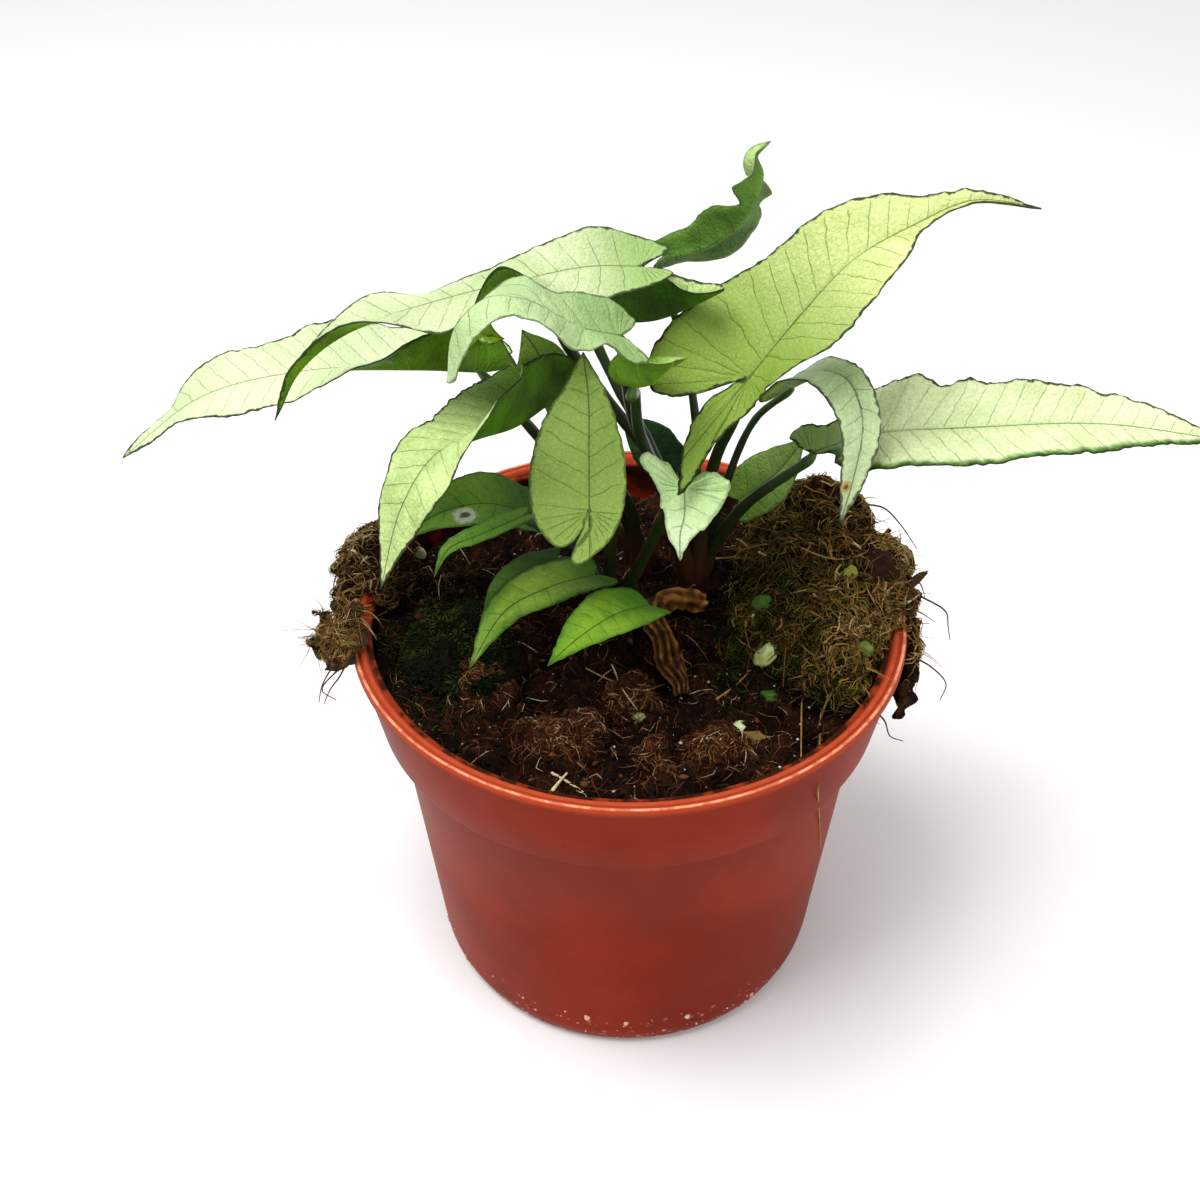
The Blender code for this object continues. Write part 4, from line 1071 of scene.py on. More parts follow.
def pot_profile():
    """The pot's section as (radius, height) points, from the inside bottom over the rim to the foot."""
    lip_low = POT_H - LIP_H
    collar_top_r = RIM_R - 1.0
    return [
        (0, FLOOR),
        (FOOT_R - 1.5, FLOOR),
        (BODY_LOW_R - WALL, BODY_LOW_Z + 1),
        (BODY_TOP_R - WALL, COLLAR_LOW_Z - 1),
        (COLLAR_LOW_R - WALL, COLLAR_LOW_Z + 1),
        (collar_top_r - WALL, lip_low),
        (LIP_IN_R, lip_low + 0.2),
        (LIP_IN_R, POT_H - 1.5),
        (LIP_IN_R + 0.3, POT_H - 1.2),
        (LIP_IN_R + 1.4, POT_H - 1.1),
        (LIP_IN_R + 1.7, POT_H - 0.5),
        (LIP_IN_R + 2.0, POT_H - 0.25),
        (LIP_IN_R + 2.8, POT_H - 0.25),
        (LIP_IN_R + 3.1, POT_H - 0.65),
        (LIP_IN_R + 3.3, POT_H - 0.65),
        (RIM_R - 0.9, POT_H - 0.15),
        (RIM_R - 0.6, POT_H),
        (RIM_R - 0.25, POT_H - 0.2),
        (RIM_R, POT_H - 0.7),
        (RIM_R, lip_low + 0.3),
        (RIM_R - 0.3, lip_low - 0.1),
        (collar_top_r - 0.1, lip_low - 0.5),
        (0.5 * (collar_top_r + COLLAR_LOW_R), 0.5 * (lip_low + COLLAR_LOW_Z)),
        (COLLAR_LOW_R, COLLAR_LOW_Z + 1.0),
        (COLLAR_LOW_R - 0.3, COLLAR_LOW_Z + 0.25),
        (COLLAR_LOW_R - 0.9, COLLAR_LOW_Z - 0.1),
        (BODY_TOP_R + 0.7, COLLAR_LOW_Z - 0.6),
        (BODY_TOP_R, COLLAR_LOW_Z - 1.6),
        (0.5 * (BODY_TOP_R + BODY_LOW_R), 0.5 * (COLLAR_LOW_Z + BODY_LOW_Z)),
        (BODY_LOW_R, BODY_LOW_Z + 1.5),
        (BODY_LOW_R - 0.3, BODY_LOW_Z - 0.5),
        (BODY_LOW_R - 1.2, 1.4),
        (FOOT_R - 0.2, 0.3),
        (FOOT_R - 1.2, 0),
        (0, 0),
    ]


def turned_mesh(name, profile, steps):
    """A profile spun round the vertical axis by a Screw modifier, as a mesh."""
    mesh = bpy.data.meshes.new(name)
    work = bmesh.new()
    verts = [work.verts.new((r * MM, 0.0, z * MM)) for r, z in profile]
    for first, second in zip(verts, verts[1:]):
        work.edges.new((first, second))
    work.to_mesh(mesh)
    work.free()
    obj = add_object(name + "_turned", mesh)
    spin = obj.modifiers.new("spin", "SCREW")
    spin.steps = steps
    spin.render_steps = steps
    spin.use_merge_vertices = True
    spin.merge_threshold = 0.00001
    return obj


def bake_down(obj, name):
    """The mesh that an object evaluates to, as a plain mesh. The object is removed."""
    depsgraph = bpy.context.evaluated_depsgraph_get()
    mesh = bpy.data.meshes.new_from_object(obj.evaluated_get(depsgraph))
    mesh.name = name
    bpy.data.objects.remove(obj, do_unlink=True)
    return mesh


def drain_cutter(index):
    """A short rod where one of the drain holes goes."""
    mesh = bpy.data.meshes.new("drain_cutter")
    work = bmesh.new()
    bmesh.ops.create_cone(work, cap_ends=True, segments=32, radius1=DRAIN_R * MM, radius2=DRAIN_R * MM,
                          depth=8 * MM)
    work.to_mesh(mesh)
    work.free()
    cutter = add_object("drain_cutter", mesh)
    cutter.location = (*around(DRAIN_RING_R * MM, 2 * math.pi * (index + 0.5) / DRAIN_COUNT), 0)
    return cutter


def make_pot():
    """The nursery pot, turned finely, with drain holes and a slightly uneven rim and wall."""
    obj = turned_mesh("pot", pot_profile()[::-1], POT_STEPS)
    cutters = [drain_cutter(index) for index in range(DRAIN_COUNT)]
    for cutter in cutters:
        cut = obj.modifiers.new("drain", "BOOLEAN")
        cut.object = cutter
        cut.operation = "DIFFERENCE"
    bpy.context.view_layer.update()
    mesh = bake_down(obj, "pot_fine")
    for cutter in cutters:
        bpy.data.objects.remove(cutter, do_unlink=True)
    for vert in mesh.vertices:
        place = vert.co / MM
        radius = math.hypot(place.x, place.y)
        if place.z > 8 and radius > 40:
            wide = 0.10 * noise.noise(place / 22)
            nick = 0.07 * noise.noise(place / 2.2) * (place.z > POT_H - 3)
            push = 1 + (min(wide, 0) + min(nick, 0)) / radius
            vert.co.x *= push
            vert.co.y *= push
    mesh.shade_smooth()
    mesh.set_sharp_from_angle(angle=math.radians(50))
    pot = add_object("nursery_pot", mesh, pot_material(), "pot")
    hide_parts("pot")
    return pot


def within_collar(tree, z, radius):
    """Where the pot shows its inside above the peat: behind the lip, and on the slanting wall below it."""
    lip = band_mm(tree, radius, LIP_IN_R + 1.1, LIP_IN_R + 1.6, 1, 0)
    lip = times(tree, lip, band_mm(tree, z, POT_H - 8, POT_H - 5))
    slant = minus(tree, radius, times(tree, z, COLLAR_SLANT))
    wall = band_mm(tree, slant, COLLAR_MID_R, COLLAR_MID_R + 0.3, 1, 0)
    wall = times(tree, wall, band_mm(tree, z, POT_H - LIP_H - 0.4, POT_H - LIP_H, 1, 0))
    wall = times(tree, wall, band_mm(tree, z, POT_H - 12, POT_H - 9))
    return calc(tree, "MAXIMUM", lip, wall)


def pot_material():
    """Terracotta-coloured plastic: cloudy, with painted light on the rim's top and a painted highlight
    along its crest, dirty inside it, limed near the foot.
    """
    mat, tree, shader, place = new_material("pot_look", 0.42, 0.04)
    z = put(tree, "SeparateXYZ", {0: place}).outputs[2]
    level = scaled(tree, place, (1, 1, 0))
    radius = put(tree, "VectorMath", {0: level}, operation="LENGTH").outputs["Value"]
    drag = grain(tree, scaled(tree, place, (1, 1, 0.12)), 200.0, 4.0)
    speckle = grain(tree, place, 420.0, 4.0)
    cloud = band(tree, grain(tree, place, 28.0, 3.0), 0.35, 0.65)
    colour = blend(tree, cloud, linear((136, 37, 7)), linear((119, 29, 5)))
    colour = tint(tree, colour, band(tree, drag, 0.55, 0.75), 0.07, (92, 28, 12))
    # Painted light: the rim's top is painted lighter, and a painted highlight broken up by speckle runs
    # along its crest
    colour = tint(tree, colour, band_mm(tree, z, POT_H - 1.9, POT_H - 0.7), 0.6, (190, 76, 42))
    crest_highlight = band_mm(tree, z, POT_H - 0.28, POT_H - 0.1)
    colour = tint(tree, colour, crest_highlight, band(tree, speckle, 0.4, 0.6, 0.35, 1), (236, 156, 124))
    dirt = band(tree, grain(tree, place, 240.0, 5.0), 0.38, 0.56, 0.25, 0.95)
    colour = tint(tree, colour, within_collar(tree, z, radius), dirt, (38, 20, 12))
    low = band_mm(tree, z, 3, 16, 1, 0)
    dots = put(tree, "TexVoronoi", {"Vector": place, "Scale": 420.0}).outputs[0]
    crust = band(tree, grain(tree, place, 90.0), 0.48, 0.58)
    lime = times(tree, band(tree, dots, 0.14, 0.3, 1, 0), crust)
    colour = tint(tree, colour, lime, times(tree, low, 0.7), (206, 160, 136))
    stain = times(tree, band(tree, grain(tree, place, 160.0, 5.0), 0.58, 0.7), low)
    colour = tint(tree, colour, stain, 0.6, (58, 24, 16))
    colour = tint(tree, colour, band(tree, speckle, 0.68, 0.76), 0.5, (72, 28, 16))
    set_colour(tree, shader, colour)
    bump(tree, shader, plus(tree, times(tree, grain(tree, place, 1500.0, 3.0), 0.3), drag), 0.00003)
    return mat


def make_lime(pot, mat):
    """Beads and specks of lime that stand on the wall near the foot."""
    rng = random.Random(13)
    heap = Heap()
    ground = Ground([pot])
    for pixel_x, pixel_y, size in LIME_BEADS.values():
        place, _ = ground.seen(pixel_x, pixel_y)
        heap.crumb(place, size, rng, 0.8, (1, 1, 1), 2)
    for _ in range(LIME_SPECKS):
        turn = rng.uniform(0, 2 * math.pi)
        height = 1.5 + 10 * rng.random() ** 2
        place, _ = ground.toward((*around(1.5 * RIM_R, turn), height), (0, 0, height))
        heap.crumb(place, 0.12 + 0.3 * rng.random() ** 2, rng, rng.random(), (1, 1, 0.7), 1)
    heap.finish("lime_beads", mat, "pot")


# Peat

def soil_top(x, y):
    """Height of the peat at a place, in mm: low in front, heaped round the crowns, lumpy all over."""
    heap = 4.5 * math.exp(-((x - 6) ** 2 + (y - 12) ** 2) / 1000)
    left = 3.0 / (1 + math.exp((x + 34) / 5))
    lumps = 1.0 * math.sin(0.23 * x + 1) * math.cos(0.19 * y) + 0.8 * math.sin(0.41 * x - 0.33 * y + 2)
    fine = 0.9 * noise.noise(Vector((x, y, 3)) * 0.16)
    return SOIL_LEVEL + heap + left + lumps + fine


def on_level(pixel_x, pixel_y, height):
    """Where a pixel's line of sight meets a height."""
    ray = pixel_ray(pixel_x, pixel_y)
    return EYE + ray * ((height - EYE.z) / ray.z)


def clod_share(x, y):
    """How much of a place is coir clod, from 0 to 1, and how high the clod stands there."""
    share, height = 0.0, 0.0
    for pixel_x, pixel_y, half_x, half_y, tall in CLODS.values():
        middle = on_level(pixel_x, pixel_y, SOIL_LEVEL)
        reach = ((x - middle.x) / half_x) ** 2 + ((y - middle.y) / half_y) ** 2
        reach += 0.5 * noise.noise(Vector((x, y, 9)) / 3.5)
        rise = max(0.0, 1 - reach) ** 0.5 if reach < 1 else 0.0
        share, height = max(share, rise), max(height, tall * rise)
    return share, height


def rough_peat(x, y):
    """The peat's height with its clods, pits and crumbs."""
    place = Vector((x, y, 0))
    pit = 3.4 * noise.noise(place / 7.0 + Vector((7, 0, 0))) - 1.0
    crumb = 2.4 * noise.noise(place / 2.6)
    grit = 1.0 * noise.noise(place / 1.1)
    rim = min(1.0, max(0.0, (SOIL_R - math.hypot(x, y)) / 5))
    return soil_top(x, y) + (pit + crumb + grit) * (0.3 + 0.7 * rim) + clod_share(x, y)[1] * rim - 0.4


def make_soil():
    """The peat: a fine rough top over plain turned sides."""
    wall = [
        (SOIL_R, 80.0),
        (COLLAR_LOW_R - WALL - 0.5, COLLAR_LOW_Z + 2.5),
        (BODY_TOP_R - WALL - 0.4, COLLAR_LOW_Z),
        (BODY_LOW_R - WALL - 0.4, BODY_LOW_Z + 1.2),
        (FOOT_R - 2.2, FLOOR + GAP),
        (1.0, FLOOR + GAP),
    ]
    turns = np.linspace(0, 2 * math.pi, SOIL_SPOKES, endpoint=False)
    points = [(0, 0, rough_peat(0, 0))]
    for ring in range(1, SOIL_RINGS + 1):
        places = [around(SOIL_R * ring / SOIL_RINGS, turn) for turn in turns]
        points += [(x, y, rough_peat(x, y)) for x, y in places]
    for radius, height in wall:
        points += [(*around(radius, turn), height) for turn in turns]
    points.append((0, 0, FLOOR + GAP))
    last = len(points) - 1
    spans = SOIL_RINGS + len(wall) - 1
    faces = []
    for side in range(SOIL_SPOKES):
        ahead = (side + 1) % SOIL_SPOKES
        faces.append((0, 1 + side, 1 + ahead))
        for span in range(spans):
            low, high = 1 + span * SOIL_SPOKES, 1 + (span + 1) * SOIL_SPOKES
            faces.append((low + side, high + side, high + ahead, low + ahead))
        end = 1 + spans * SOIL_SPOKES
        faces.append((last, end + ahead, end + side))
    coir = [clod_share(x, y)[0] if z > 80 else 0 for x, y, z in points]
    mesh = closed_mesh("peat", np.array(points) * MM, faces, [("tone", coir, "FLOAT")], merge=0)
    soil = add_object("peat", mesh, peat_material("peat_look"), "soil")
    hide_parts("soil")
    return soil


def peat_material(name):
    """Damp dark peat, browner on its clods and nearly black in its pits."""
    mat, tree, shader, place = new_material(name, 0.8, 0.05)
    wide = grain(tree, place, 160.0, 4.0)
    fine = grain(tree, place, 1100.0, 5.0, 0.65)
    coir = attribute(tree, "tone").outputs["Fac"]
    mixed = plus(tree, times(tree, wide, 0.5), times(tree, fine, 0.5))
    mixed = plus(tree, mixed, times(tree, coir, 0.1))
    stops = {0.36: (8, 4, 2), 0.5: (26, 14, 8), 0.6: (60, 33, 18), 0.74: (110, 66, 36)}
    set_colour(tree, shader, colour_ramp(tree, mixed, stops))
    tree.links.new(band(tree, fine, 0.3, 0.7, 0.55, 0.95), shader.inputs["Roughness"])
    bump(tree, shader, fine, 0.0009)
    return mat


def anywhere_on_soil(ground, rng):
    """A random place on the peat, and its normal."""
    radius = SOIL_R * math.sqrt(rng.random()) * 0.97
    return ground.below(*around(radius, rng.uniform(0, 2 * math.pi)))


def lay_fibres(name, ground, count, chance, length, lift, mat):
    """Fibres laid on the peat where chance, a function of how much of a place is clod, allows."""
    rng = random.Random(name)
    heap = Heap()
    for _ in range(count):
        place, normal = anywhere_on_soil(ground, rng)
        share = clod_share(place.x, place.y)[0]
        if rng.random() > chance(share):
            continue
        heading = flow(place, normal, rng, 0.8)
        path = strand(ground, place, heading, rng.uniform(*length), rng.uniform(0.1, lift), rng, 4, 0.15)
        tone = 0.1 + 0.2 * share + 0.55 * rng.random() ** 1.8
        if rng.random() < 0.04:
            tone = rng.uniform(0.75, 1.0)
        heap.tube(path, np.linspace(rng.uniform(0.06, 0.16), 0.04, len(path)), tone, 3)
    heap.finish(name, mat, "roots")


def scatter_on_soil(ground, looks):
    """Crumbs, fibres and white specks over the peat, with the fibres matted on the clods."""
    rng = random.Random(5)
    crumbs, specks = Heap(), Heap()
    for _ in range(CRUMBS):
        place, normal = anywhere_on_soil(ground, rng)
        size = 0.22 + 0.9 * rng.random() ** 4
        flat = (1, rng.uniform(0.4, 0.9), rng.uniform(0.3, 0.8))
        ball_kind = 2 if size > 0.7 else 1
        crumbs.crumb(place + normal * size * 0.2, size, rng, rng.random() ** 2, flat, ball_kind)
    for _ in range(SPECKS):
        place, normal = anywhere_on_soil(ground, rng)
        specks.crumb(place + normal * 0.1, 0.1 + 0.4 * rng.random() ** 5, rng, rng.random(), (1, 0.8, 0.7))
    coir = looks["coir"]
    lay_fibres("peat_fibres", ground, PEAT_TRIES, lambda share: 0.45 - share, (2.5, 9), 1.2, coir)
    lay_fibres("clod_fibres", ground, CLOD_TRIES, lambda share: 2 * share - 0.2, (1.5, 5), 1.0, coir)
    crumbs.finish("peat_crumbs", looks["crumb"], "soil")
    specks.finish("peat_specks", looks["speck"], "soil")


# Root mats and moss

def keep_largest(mesh):
    """Leave only the largest connected part of a mesh."""
    work = bmesh.new()
    work.from_mesh(mesh)
    unseen, parts = set(work.verts), []
    while unseen:
        front = [unseen.pop()]
        part = list(front)
        while front:
            near = [edge.other_vert(vert) for vert in front for edge in vert.link_edges]
            front = list({vert for vert in near if vert in unseen})
            unseen.difference_update(front)
            part += front
        parts.append(part)
    parts.sort(key=len)
    bmesh.ops.delete(work, geom=[vert for part in parts[:-1] for vert in part], context="VERTS")
    work.to_mesh(mesh)
    work.free()


def rough_copy(node, name, voxel, relief, mat, slot, shrink=0.0):
    """A node's solid, meshed finely, drawn in a little and roughened along its normals."""
    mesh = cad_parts[node].data.copy()
    mesh.materials.clear()
    obj = add_object(name, mesh)
    remesh = obj.modifiers.new("remesh", "REMESH")
    remesh.mode = "VOXEL"
    remesh.voxel_size = voxel * MM
    bpy.context.view_layer.update()
    fine = bake_down(obj, name)
    keep_largest(fine)
    normals = [vert.normal.copy() for vert in fine.vertices]
    for vert, normal in zip(fine.vertices, normals):
        place = vert.co / MM
        push = sum(depth * noise.noise(place / scale + Vector((scale, 0, 0))) for scale, depth in relief)
        vert.co += normal * (push - shrink) * MM
        vert.co.z = max(vert.co.z, 0)
    fine.shade_smooth()
    made = add_object(name, fine, mat, slot)
    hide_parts(node)
    return made


def patch(place, scale, seed):
    """How full a place is, from 0 to 1, in patches of scale mm."""
    return min(1.0, max(0.0, 0.5 + 0.95 * noise.noise(Vector(place) / scale + Vector((seed, 0, 0)))))


def on_body(ground, rng, low=-0.3):
    """A random place on the outside of a body, and its normal."""
    centre, size = ground.centre, ground.size
    while True:
        out = stray_vector(rng).normalized()
        if out.z < low:
            continue
        start = centre + out * size * 2
        inner = centre + Vector((rng.uniform(-0.25, 0.25) * size.x, rng.uniform(-0.3, 0.3) * size.y, 0))
        place, normal = ground.toward(start, inner)
        if place is not None:
            return place, normal


def in_bed(ground, rng, bed):
    """A random place in a round bed on the peat, and its normal, thinning out to its edge."""
    x, y, half_x, half_y = bed
    while True:
        reach, turn = min(1.3, abs(rng.gauss(0, 0.55))), rng.uniform(0, 2 * math.pi)
        place_x, place_y = x + half_x * reach * math.cos(turn), y + half_y * reach * math.sin(turn)
        if math.hypot(place_x, place_y) < SOIL_R - 1:
            return ground.below(place_x, place_y)


def flow(place, normal, rng, stray=0.5):
    """A heading along a surface that neighbouring fibres share."""
    shared = Vector([noise.noise(place / FLOW_SCALE + Vector((shift, 0, 0))) for shift in FLOW_SHIFTS])
    return normal.cross(shared + stray_vector(rng) * stray)


def dress_mat(name, body, count, looks, seed, tone_at, length=(3, 10), width=(0.08, 0.26), ends=0.1):
    """Fibres over a mat in locks, with loose ends, a few stout roots and crumbs between them."""
    rng = random.Random(seed)
    ground = Ground([body])
    roots, crumbs = Heap(), Heap()
    for index in range(count):
        place, normal = on_body(ground, rng)
        if rng.random() > 0.25 + patch(place, 4.0, seed):
            continue
        tone = min(1.0, max(0.0, tone_at(place) + rng.gauss(0, 0.14)))
        stout = index % 22 == 0
        thick = rng.uniform(*width) * (2.0 if stout else 1)
        tone = min(1.0, tone + 0.2 * stout)
        if rng.random() < ends:
            path = loose_end(place, normal, rng.uniform(1.5, 6), rng.uniform(0.1, 0.7), rng)
        else:
            heading = flow(place, normal, rng)
            path = strand(ground, place, heading, rng.uniform(*length), rng.uniform(0.05, 0.9), rng, 6)
        roots.tube(path, np.linspace(thick, 0.35 * thick, len(path)), tone, 3)
    for _ in range(count // 6):
        place, normal = on_body(ground, rng)
        size = 0.2 + 0.8 * rng.random() ** 3
        crumbs.crumb(place + normal * 0.1, size, rng, rng.random() ** 1.6, (1, 0.7, 0.6))
    roots.finish(name + "_roots", looks["fibre"], "roots")
    crumbs.finish(name + "_crumbs", looks["crumb"], "soil")


def mat_tone(place):
    """Tone of the fibres on the right mat: golden brown outward and behind, dark toward the crowns."""
    outward = min(1.0, max(0.0, (place.x - 34) / 26))
    behind = min(1.0, max(0.0, (place.y - 20) / 20))
    return 0.3 + 0.3 * max(outward, 0.8 * behind) + 0.36 * (patch(place, 6.0, 3) - 0.5)


def clump_tone(place):
    """Tone of the fibres on the left clump: grey brown outside the rim, darker over the peat."""
    outward = min(1.0, max(0.0, (-52 - place.x) / 6))
    return 0.26 + 0.4 * outward + 0.2 * (patch(place, 3.0, 5) - 0.5)


def scrap_tone(place):
    """Tone of the scrap of dry fibre: pale and grey."""
    return 0.55 + 0.4 * (patch(place, 2.5, 7) - 0.5)


def tufts(heap, places, rng, height):
    """Moss: short thin leafy shoots that stand on places and lean their own way."""
    for place, normal in places:
        lean = (normal + stray_vector(rng, (0.6, 0.6, 0.2))).normalized()
        tall = rng.uniform(*height)
        bend = Vector((rng.gauss(0, 0.3), rng.gauss(0, 0.3), -0.2)) * tall
        path = [place - normal * 0.3, place + lean * tall * 0.55, place + lean * tall + bend]
        tone = 0.7 * patch(place, 5.0, 2) + 0.3 * rng.random()
        heap.tube(path, (0.12, 0.19, 0.05), (0.3 * tone, 0.7 * tone, tone), 3)


def make_moss(soil, bodies, mat):
    """Moss on its lump and the peat round it, and at the right on the mat and the peat by it."""
    rng = random.Random(31)
    peat, lump, root_mat = Ground([soil]), Ground([bodies["moss"]]), Ground([bodies["mat"]])
    left, right = Heap(), Heap()
    tufts(left, [on_body(lump, rng) for _ in range(MOSS_ON_LUMP)], rng, (0.4, 1.3))
    tufts(left, [in_bed(peat, rng, MOSS_BED_LEFT) for _ in range(MOSS_LEFT)], rng, (0.5, 1.5))
    on_mat = [on_body(root_mat, rng) for _ in range(MOSS_ON_MAT)]
    kept = [(place, normal) for place, normal in on_mat
            if rng.random() < (0.35 + patch(place, 5.0, 9)) * (1.15 - (place.x - 22) / 32)]
    tufts(right, kept, rng, (0.5, 1.8))
    tufts(right, [in_bed(peat, rng, MOSS_BED_RIGHT) for _ in range(MOSS_RIGHT)], rng, (0.4, 1.4))
    for place, normal in kept[::4]:
        heading = flow(place, normal, rng, 0.9)
        path = strand(root_mat, place, heading, rng.uniform(2, 6), rng.uniform(0.2, 1.2), rng, 5)
        right.tube(path, np.linspace(0.16, 0.06, len(path)), 0.5 + 0.5 * rng.random(), 3)
    left.finish("moss_left_shoots", mat, "moss")
    right.finish("moss_right_shoots", mat, "moss")


def make_ground_cover(soil, looks):
    """The roughened mats, clump, scrap and moss with all that grows on them. Returns their bodies."""
    bodies = {
        "mat": rough_copy("root_mat_right", "root_mat_body", 0.8, [(9, 2.2), (3.4, 2.2), (1.3, 0.8)],
                          looks["mat_body"], "roots", 0.3),
        "clump": rough_copy("root_clump_left", "root_clump_body", 0.7, [(5, 1.4), (2.2, 1.5), (1.0, 0.6)],
                            looks["mat_body"], "roots", 0.5),
        "scrap": rough_copy("root_scrap_left", "root_scrap_body", 0.45, [(3, 1.2), (1.4, 1.0)],
                            looks["scrap_body"], "roots", 1.3),
        "moss": rough_copy("moss_left", "moss_body", 0.6, [(6, 1.6), (2.4, 1.2), (1, 0.5)],
                           looks["moss_body"], "moss", 0.9),
    }
    dress_mat("root_mat", bodies["mat"], MAT_TRIES, looks, 21, mat_tone)
    dress_mat("root_clump", bodies["clump"], CLUMP_TRIES, looks, 22, clump_tone, (2, 7), (0.05, 0.16), 0.06)
    dress_mat("root_scrap", bodies["scrap"], SCRAP_TRIES, looks, 23, scrap_tone, (2, 6), (0.05, 0.13), 0.3)
    make_moss(soil, bodies, looks["moss"])
    return bodies


def hung_root(ground, pixels):
    """A root that leaves the surface at the first pixel and runs past the others at the same distance."""
    start, _ = ground.seen(*pixels[0])
    depth = (start - EYE).dot(-VIEW_BACK)
    path = [start]
    for pixel_x, pixel_y in pixels[1:]:
        ray = pixel_ray(pixel_x, pixel_y)
        path.append(EYE + ray * (depth / ray.dot(-VIEW_BACK)))
    return smooth_path(path, 5 * len(pixels))[0]


def place_finds(ground, looks):
    """The single roots, pellets, bark chips and straws that the photograph shows, each where it lies."""
    rng = random.Random(8)
    pale, wiry, pellets, chips = Heap(), Heap(), Heap(), Heap()
    for name, pixels in LONG_ROOTS.items():
        seen = [ground.seen(*pixel) for pixel in pixels]
        path, _ = smooth_path([place + normal * 0.35 for place, normal in seen], 6 * len(pixels))
        pale.tube(path, np.linspace(0.26, 0.12, len(path)), 0.95 if "white" in name else 0.72, 6)
    for pixels in FREE_ROOTS.values():
        path = hung_root(ground, pixels)
        wiry.tube(path, np.linspace(0.26, 0.1, len(path)), 0.3, 5)
    for pixel_x, pixel_y, size, tone in PELLETS.values():
        place, normal = ground.seen(pixel_x, pixel_y)
        pellets.crumb(place + normal * size * 0.25, size, rng, tone, (1, 0.85, 0.55), 3)
    for pixel_x, pixel_y, size, tone in BARK_CHIPS.values():
        place, normal = ground.seen(pixel_x, pixel_y)
        chips.crumb(place + normal * 0.8, size, rng, tone, (1, 0.55, 0.22), 3)
    for pixels in STRAWS.values():
        path = [ground.seen(*pixel)[0] + Vector((0, 0, 0.6)) for pixel in pixels]
        pale.tube(path, (0.36, 0.3, 0.2), 0.95, 6)
    pale.finish("long_roots", looks["fibre"], "roots")
    wiry.finish("air_roots", looks["fibre"], "roots")
    pellets.finish("pellets", looks["pellet"], "moss")
    chips.finish("bark_chips", looks["chip"], "soil")


# Petioles, crowns and the dried sheath

def stalk_path(leaf, start):
    """A petiole's route: up out of the crown, past its via points, and into the blade from below."""
    rib, _, along, up, _ = rib_frame(leaf)
    rise = leaf.get("rise", 2.5)
    approach = rib[0] - up[0] * 0.8 * rise - along[0] * 0.4 * rise
    joint = rib[0] - up[0] * 0.5 + along[0] * 0.5
    return smooth_path([start, (*start[:2], 90), *leaf["via"], approach, joint], 48)[0]


def make_stems(crown, mat):
    """A crown with the petioles of its leaves, each sheathed at its foot and swollen under its blade."""
    x, y = CROWNS[crown]
    heap = Heap()
    height = np.linspace(CROWN_LOW_Z, 96, 12)
    axis = np.stack([np.full(12, x), np.full(12, y), height], axis=1)
    heap.tube(axis, np.interp(height, (74, 88, 92, 96), (3.4, 3.6, 3.0, 1.2)), np.linspace(0, 0.12, 12), 20)
    leaves = [leaf for leaf in LEAVES.values() if leaf["crown"] == crown]
    for index, leaf in enumerate(leaves):
        toward = math.atan2(leaf["rib"][0][1] - y, leaf["rib"][0][0] - x)
        out_x, out_y = around(1.2 + 0.25 * (index % 3), toward)
        path = stalk_path(leaf, (x + out_x, y + out_y, 80 + 0.4 * index))
        share = np.linspace(0, 1, len(path))
        radii = np.interp(share, (0, 0.25, 0.3, 0.9, 0.95, 1), (2.1, 1.9, 1.45, 1.05, 1.25, 0.7))
        radii = radii * (0.72 if leaf["width"] < 14 else 1.0)
        radii = radii * (1 + 0.08 * rough_at(path, 3.0, index))
        heap.tube(path, radii, share, 14)
    heap.finish("petioles_" + crown, mat, "stems", ("stems_" + crown,))


def stem_material():
    """Petioles: reddish brown at the sheathed foot, dark green up the stalk, lighter under the blade."""
    mat, tree, shader, place = new_material("petiole_look", 0.34)
    tone = attribute(tree, "tone").outputs["Fac"]
    streak = grain(tree, scaled(tree, place, (1, 1, 0.1)), 1400.0, 3.0)
    moved = plus(tree, tone, centred(tree, streak, 0.16))
    stops = {0.0: (56, 28, 18), 0.2: (66, 38, 22), 0.34: (34, 42, 18), 0.7: (34, 46, 20),
             0.93: (50, 74, 28), 1.0: (76, 104, 42)}
    set_colour(tree, shader, colour_ramp(tree, moved, stops))
    bump(tree, shader, streak, 0.00015)
    return mat


def sheath_grids(path, columns):
    """The sheath's outer and inner faces: a strip curled round its route, ribbed and wrinkled."""
    along = unit(np.gradient(path, axis=0))
    across = unit(np.cross(along, (0, 0, 1)))
    over = np.cross(across, along)
    outer = np.zeros((len(path), columns, 3))
    inner = np.zeros_like(outer)
    for row, centre in enumerate(path):
        share = row / (len(path) - 1)
        radius = np.interp(share, (0, 0.25, 0.4, 0.75, 1), (2.0, 2.6, 2.0, 3.0, 1.6))
        radius = radius + 0.5 * noise.noise(Vector((9 * share, 5, 0)))
        curl = np.interp(share, (0, 0.3, 0.45, 1), (2.5, 2.3, 1.5, 1.2))
        lean = 0.5 * noise.noise(Vector((6 * share, 0, 4)))
        sunk = over[row] * radius * 0.5
        for column in range(columns):
            turn = curl * (2 * column / (columns - 1) - 1)
            rib = 0.26 * math.sin(SHEATH_RIBS * turn / curl + 3 * share)
            wrinkle = 0.6 * noise.noise(Vector((share * 22, 1.5 * turn, 7)))
            out = across[row] * math.sin(turn + lean) + over[row] * math.cos(turn + lean)
            outer[row, column] = centre + out * (radius + rib + wrinkle) - sunk
            inner[row, column] = centre + out * (radius + rib + wrinkle - SHEATH_THICK) - sunk
    return outer, inner


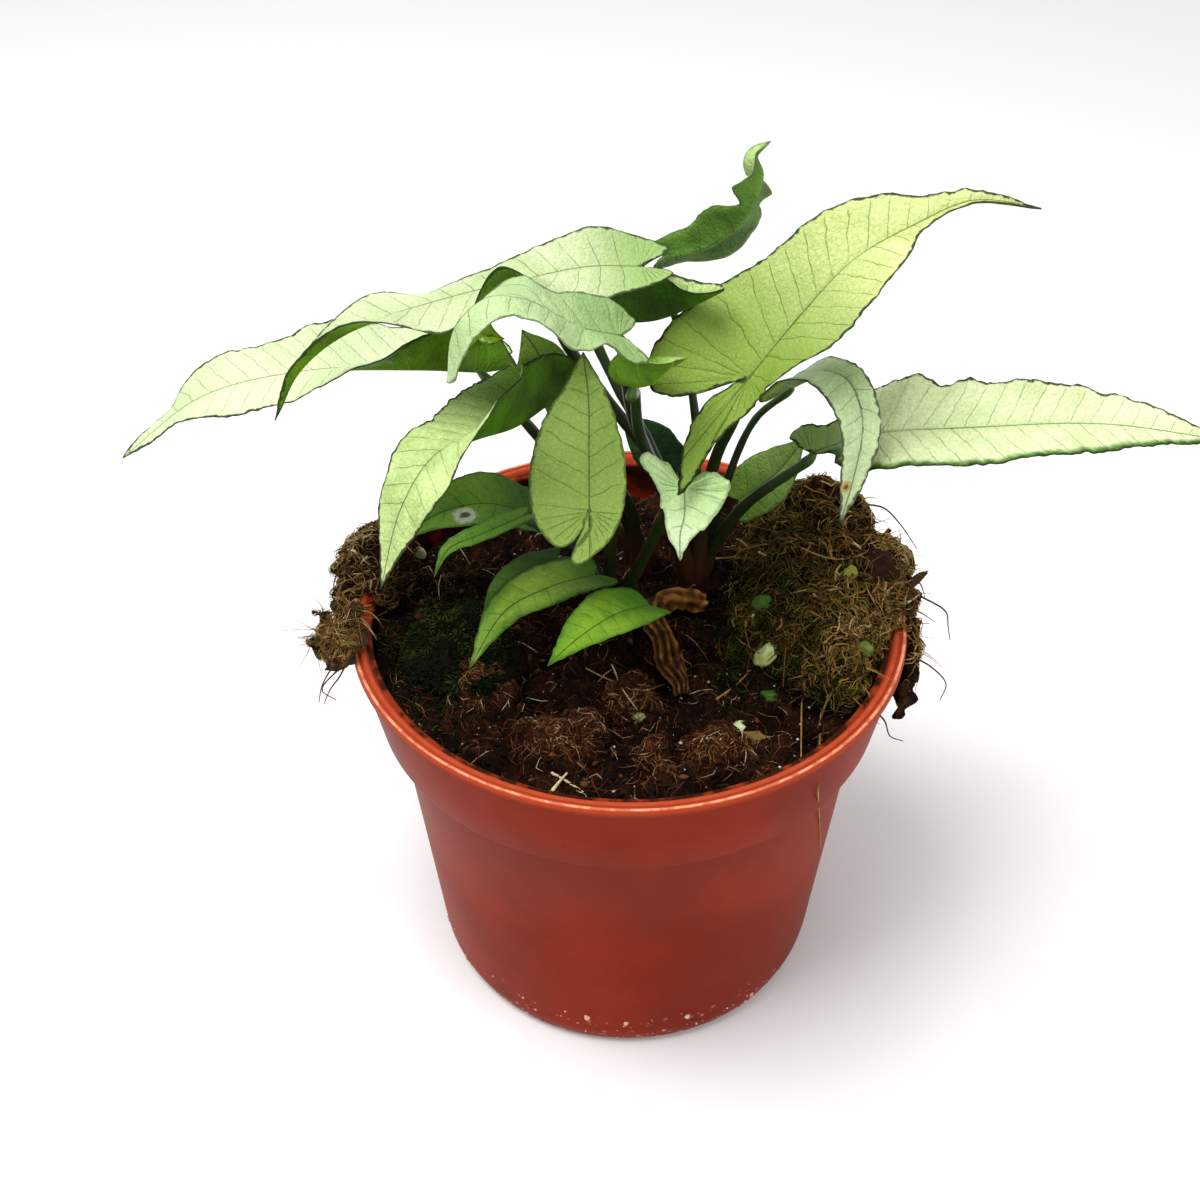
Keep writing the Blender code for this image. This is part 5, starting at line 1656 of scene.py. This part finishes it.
def make_sheath(mat):
    """The withered sheath: a ribbed strip, curled at its upper arm and flat where it droops on the peat."""
    rows, columns = 110, 33
    path, _ = smooth_path([(x, y, soil_top(x, y) + z) for x, y, z in SHEATH_ROUTE], rows)
    outer, inner = sheath_grids(path, columns)
    points = both_faces(outer, inner) * MM
    down = np.linspace(0, 1, rows)
    ribs = 0.22 * np.sin(SHEATH_RIBS * np.linspace(-1, 1, columns) + 3 * down[:, None]).ravel()
    tones = 0.5 + 0.4 * rough_at(points[:rows * columns] / MM, 2.2, 3) + ribs
    tones = tones - 0.25 * np.repeat(down, columns)
    tones = np.clip(np.concatenate([tones, 0.35 * tones]), 0, 1)
    mesh = closed_mesh("sheath", points, sheet_faces(rows, columns), [("tone", tones, "FLOAT")])
    obj = add_object("withered_sheath", mesh, mat, "dried_sheath")
    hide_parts("dried_sheath")


# Camera, light and floor

def make_camera():
    """The photograph's camera."""
    data = bpy.data.cameras.new("view")
    data.lens = LENS
    data.sensor_width = SENSOR
    data.clip_start = 0.01
    camera = bpy.data.objects.new("view", data)
    bpy.context.scene.collection.objects.link(camera)
    turn = Matrix((VIEW_RIGHT, VIEW_UP, VIEW_BACK)).transposed().to_4x4()
    camera.matrix_world = Matrix.Translation(EYE * MM) @ turn
    bpy.context.scene.camera = camera


def area_light(name, place, size, power, aim=(0, 0, 0.1)):
    """A soft square light that looks at a point."""
    data = bpy.data.lights.new(name, "AREA")
    data.size = size
    data.energy = power
    light = bpy.data.objects.new(name, data)
    bpy.context.scene.collection.objects.link(light)
    light.location = place
    light.rotation_euler = (Vector(aim) - Vector(place)).to_track_quat("-Z", "Y").to_euler()


def make_studio():
    """A plain pale floor, an even pale surround and soft lights from above and in front."""
    mesh = bpy.data.meshes.new("floor")
    work = bmesh.new()
    bmesh.ops.create_grid(work, x_segments=1, y_segments=1, size=3.0)
    work.to_mesh(mesh)
    work.free()
    mat, tree, shader, place = new_material("floor_look", 0.9)
    shader.inputs["Base Color"].default_value = (0.93, 0.93, 0.925, 1.0)
    floor = add_object("floor", mesh, mat)
    floor.location.z = -0.0002
    world = bpy.data.worlds.new("surround")
    world.use_nodes = True
    world.node_tree.nodes["Background"].inputs["Color"].default_value = (1, 1, 1, 1)
    world.node_tree.nodes["Background"].inputs["Strength"].default_value = 0.6
    bpy.context.scene.world = world
    area_light("key", (-0.3, -0.1, 1.0), 0.6, 10.0)
    area_light("fill", (0.7, -0.5, 0.6), 0.6, 1.6)
    bpy.context.scene.view_settings.view_transform = "Standard"


def mark_leaf(blade, name):
    """Give a leaf the photograph's single mark, at the place that its pixel shows."""
    pixel_x, pixel_y, radius, tone, rim = SPOTS[name]
    place, _ = Ground([blade]).seen(pixel_x, pixel_y)
    look = {**LOOKS[name], "spots": [(place * MM, radius * MM, tone, rim)]}
    blade.data.materials[0] = leaf_material(name + "_marked", look)


def make_looks():
    """The materials of everything small, by what they are for."""
    looks = {name: tone_material(name + "_look", *settings) for name, settings in TONES.items()}
    looks["mat_body"] = peat_material("mat_body_look")
    return looks


def main():
    """Dress every node, add the loose matter, then set the camera and the studio."""
    make_camera()
    make_studio()
    looks = make_looks()
    pot = make_pot()
    make_lime(pot, looks["lime"])
    soil = make_soil()
    bodies = make_ground_cover(soil, looks)
    scatter_on_soil(Ground([soil]), looks)
    place_finds(Ground([pot, soil, *bodies.values()]), looks)
    make_sheath(looks["sheath"])
    stem_look = stem_material()
    for crown in CROWNS:
        make_stems(crown, stem_look)
    blades = {}
    for index, (name, leaf) in enumerate(LEAVES.items()):
        blades[name] = make_leaf(name, leaf, LOOKS[name], 1.0 + 2 * index)
    for name in SPOTS:
        mark_leaf(blades[name], name)


main()
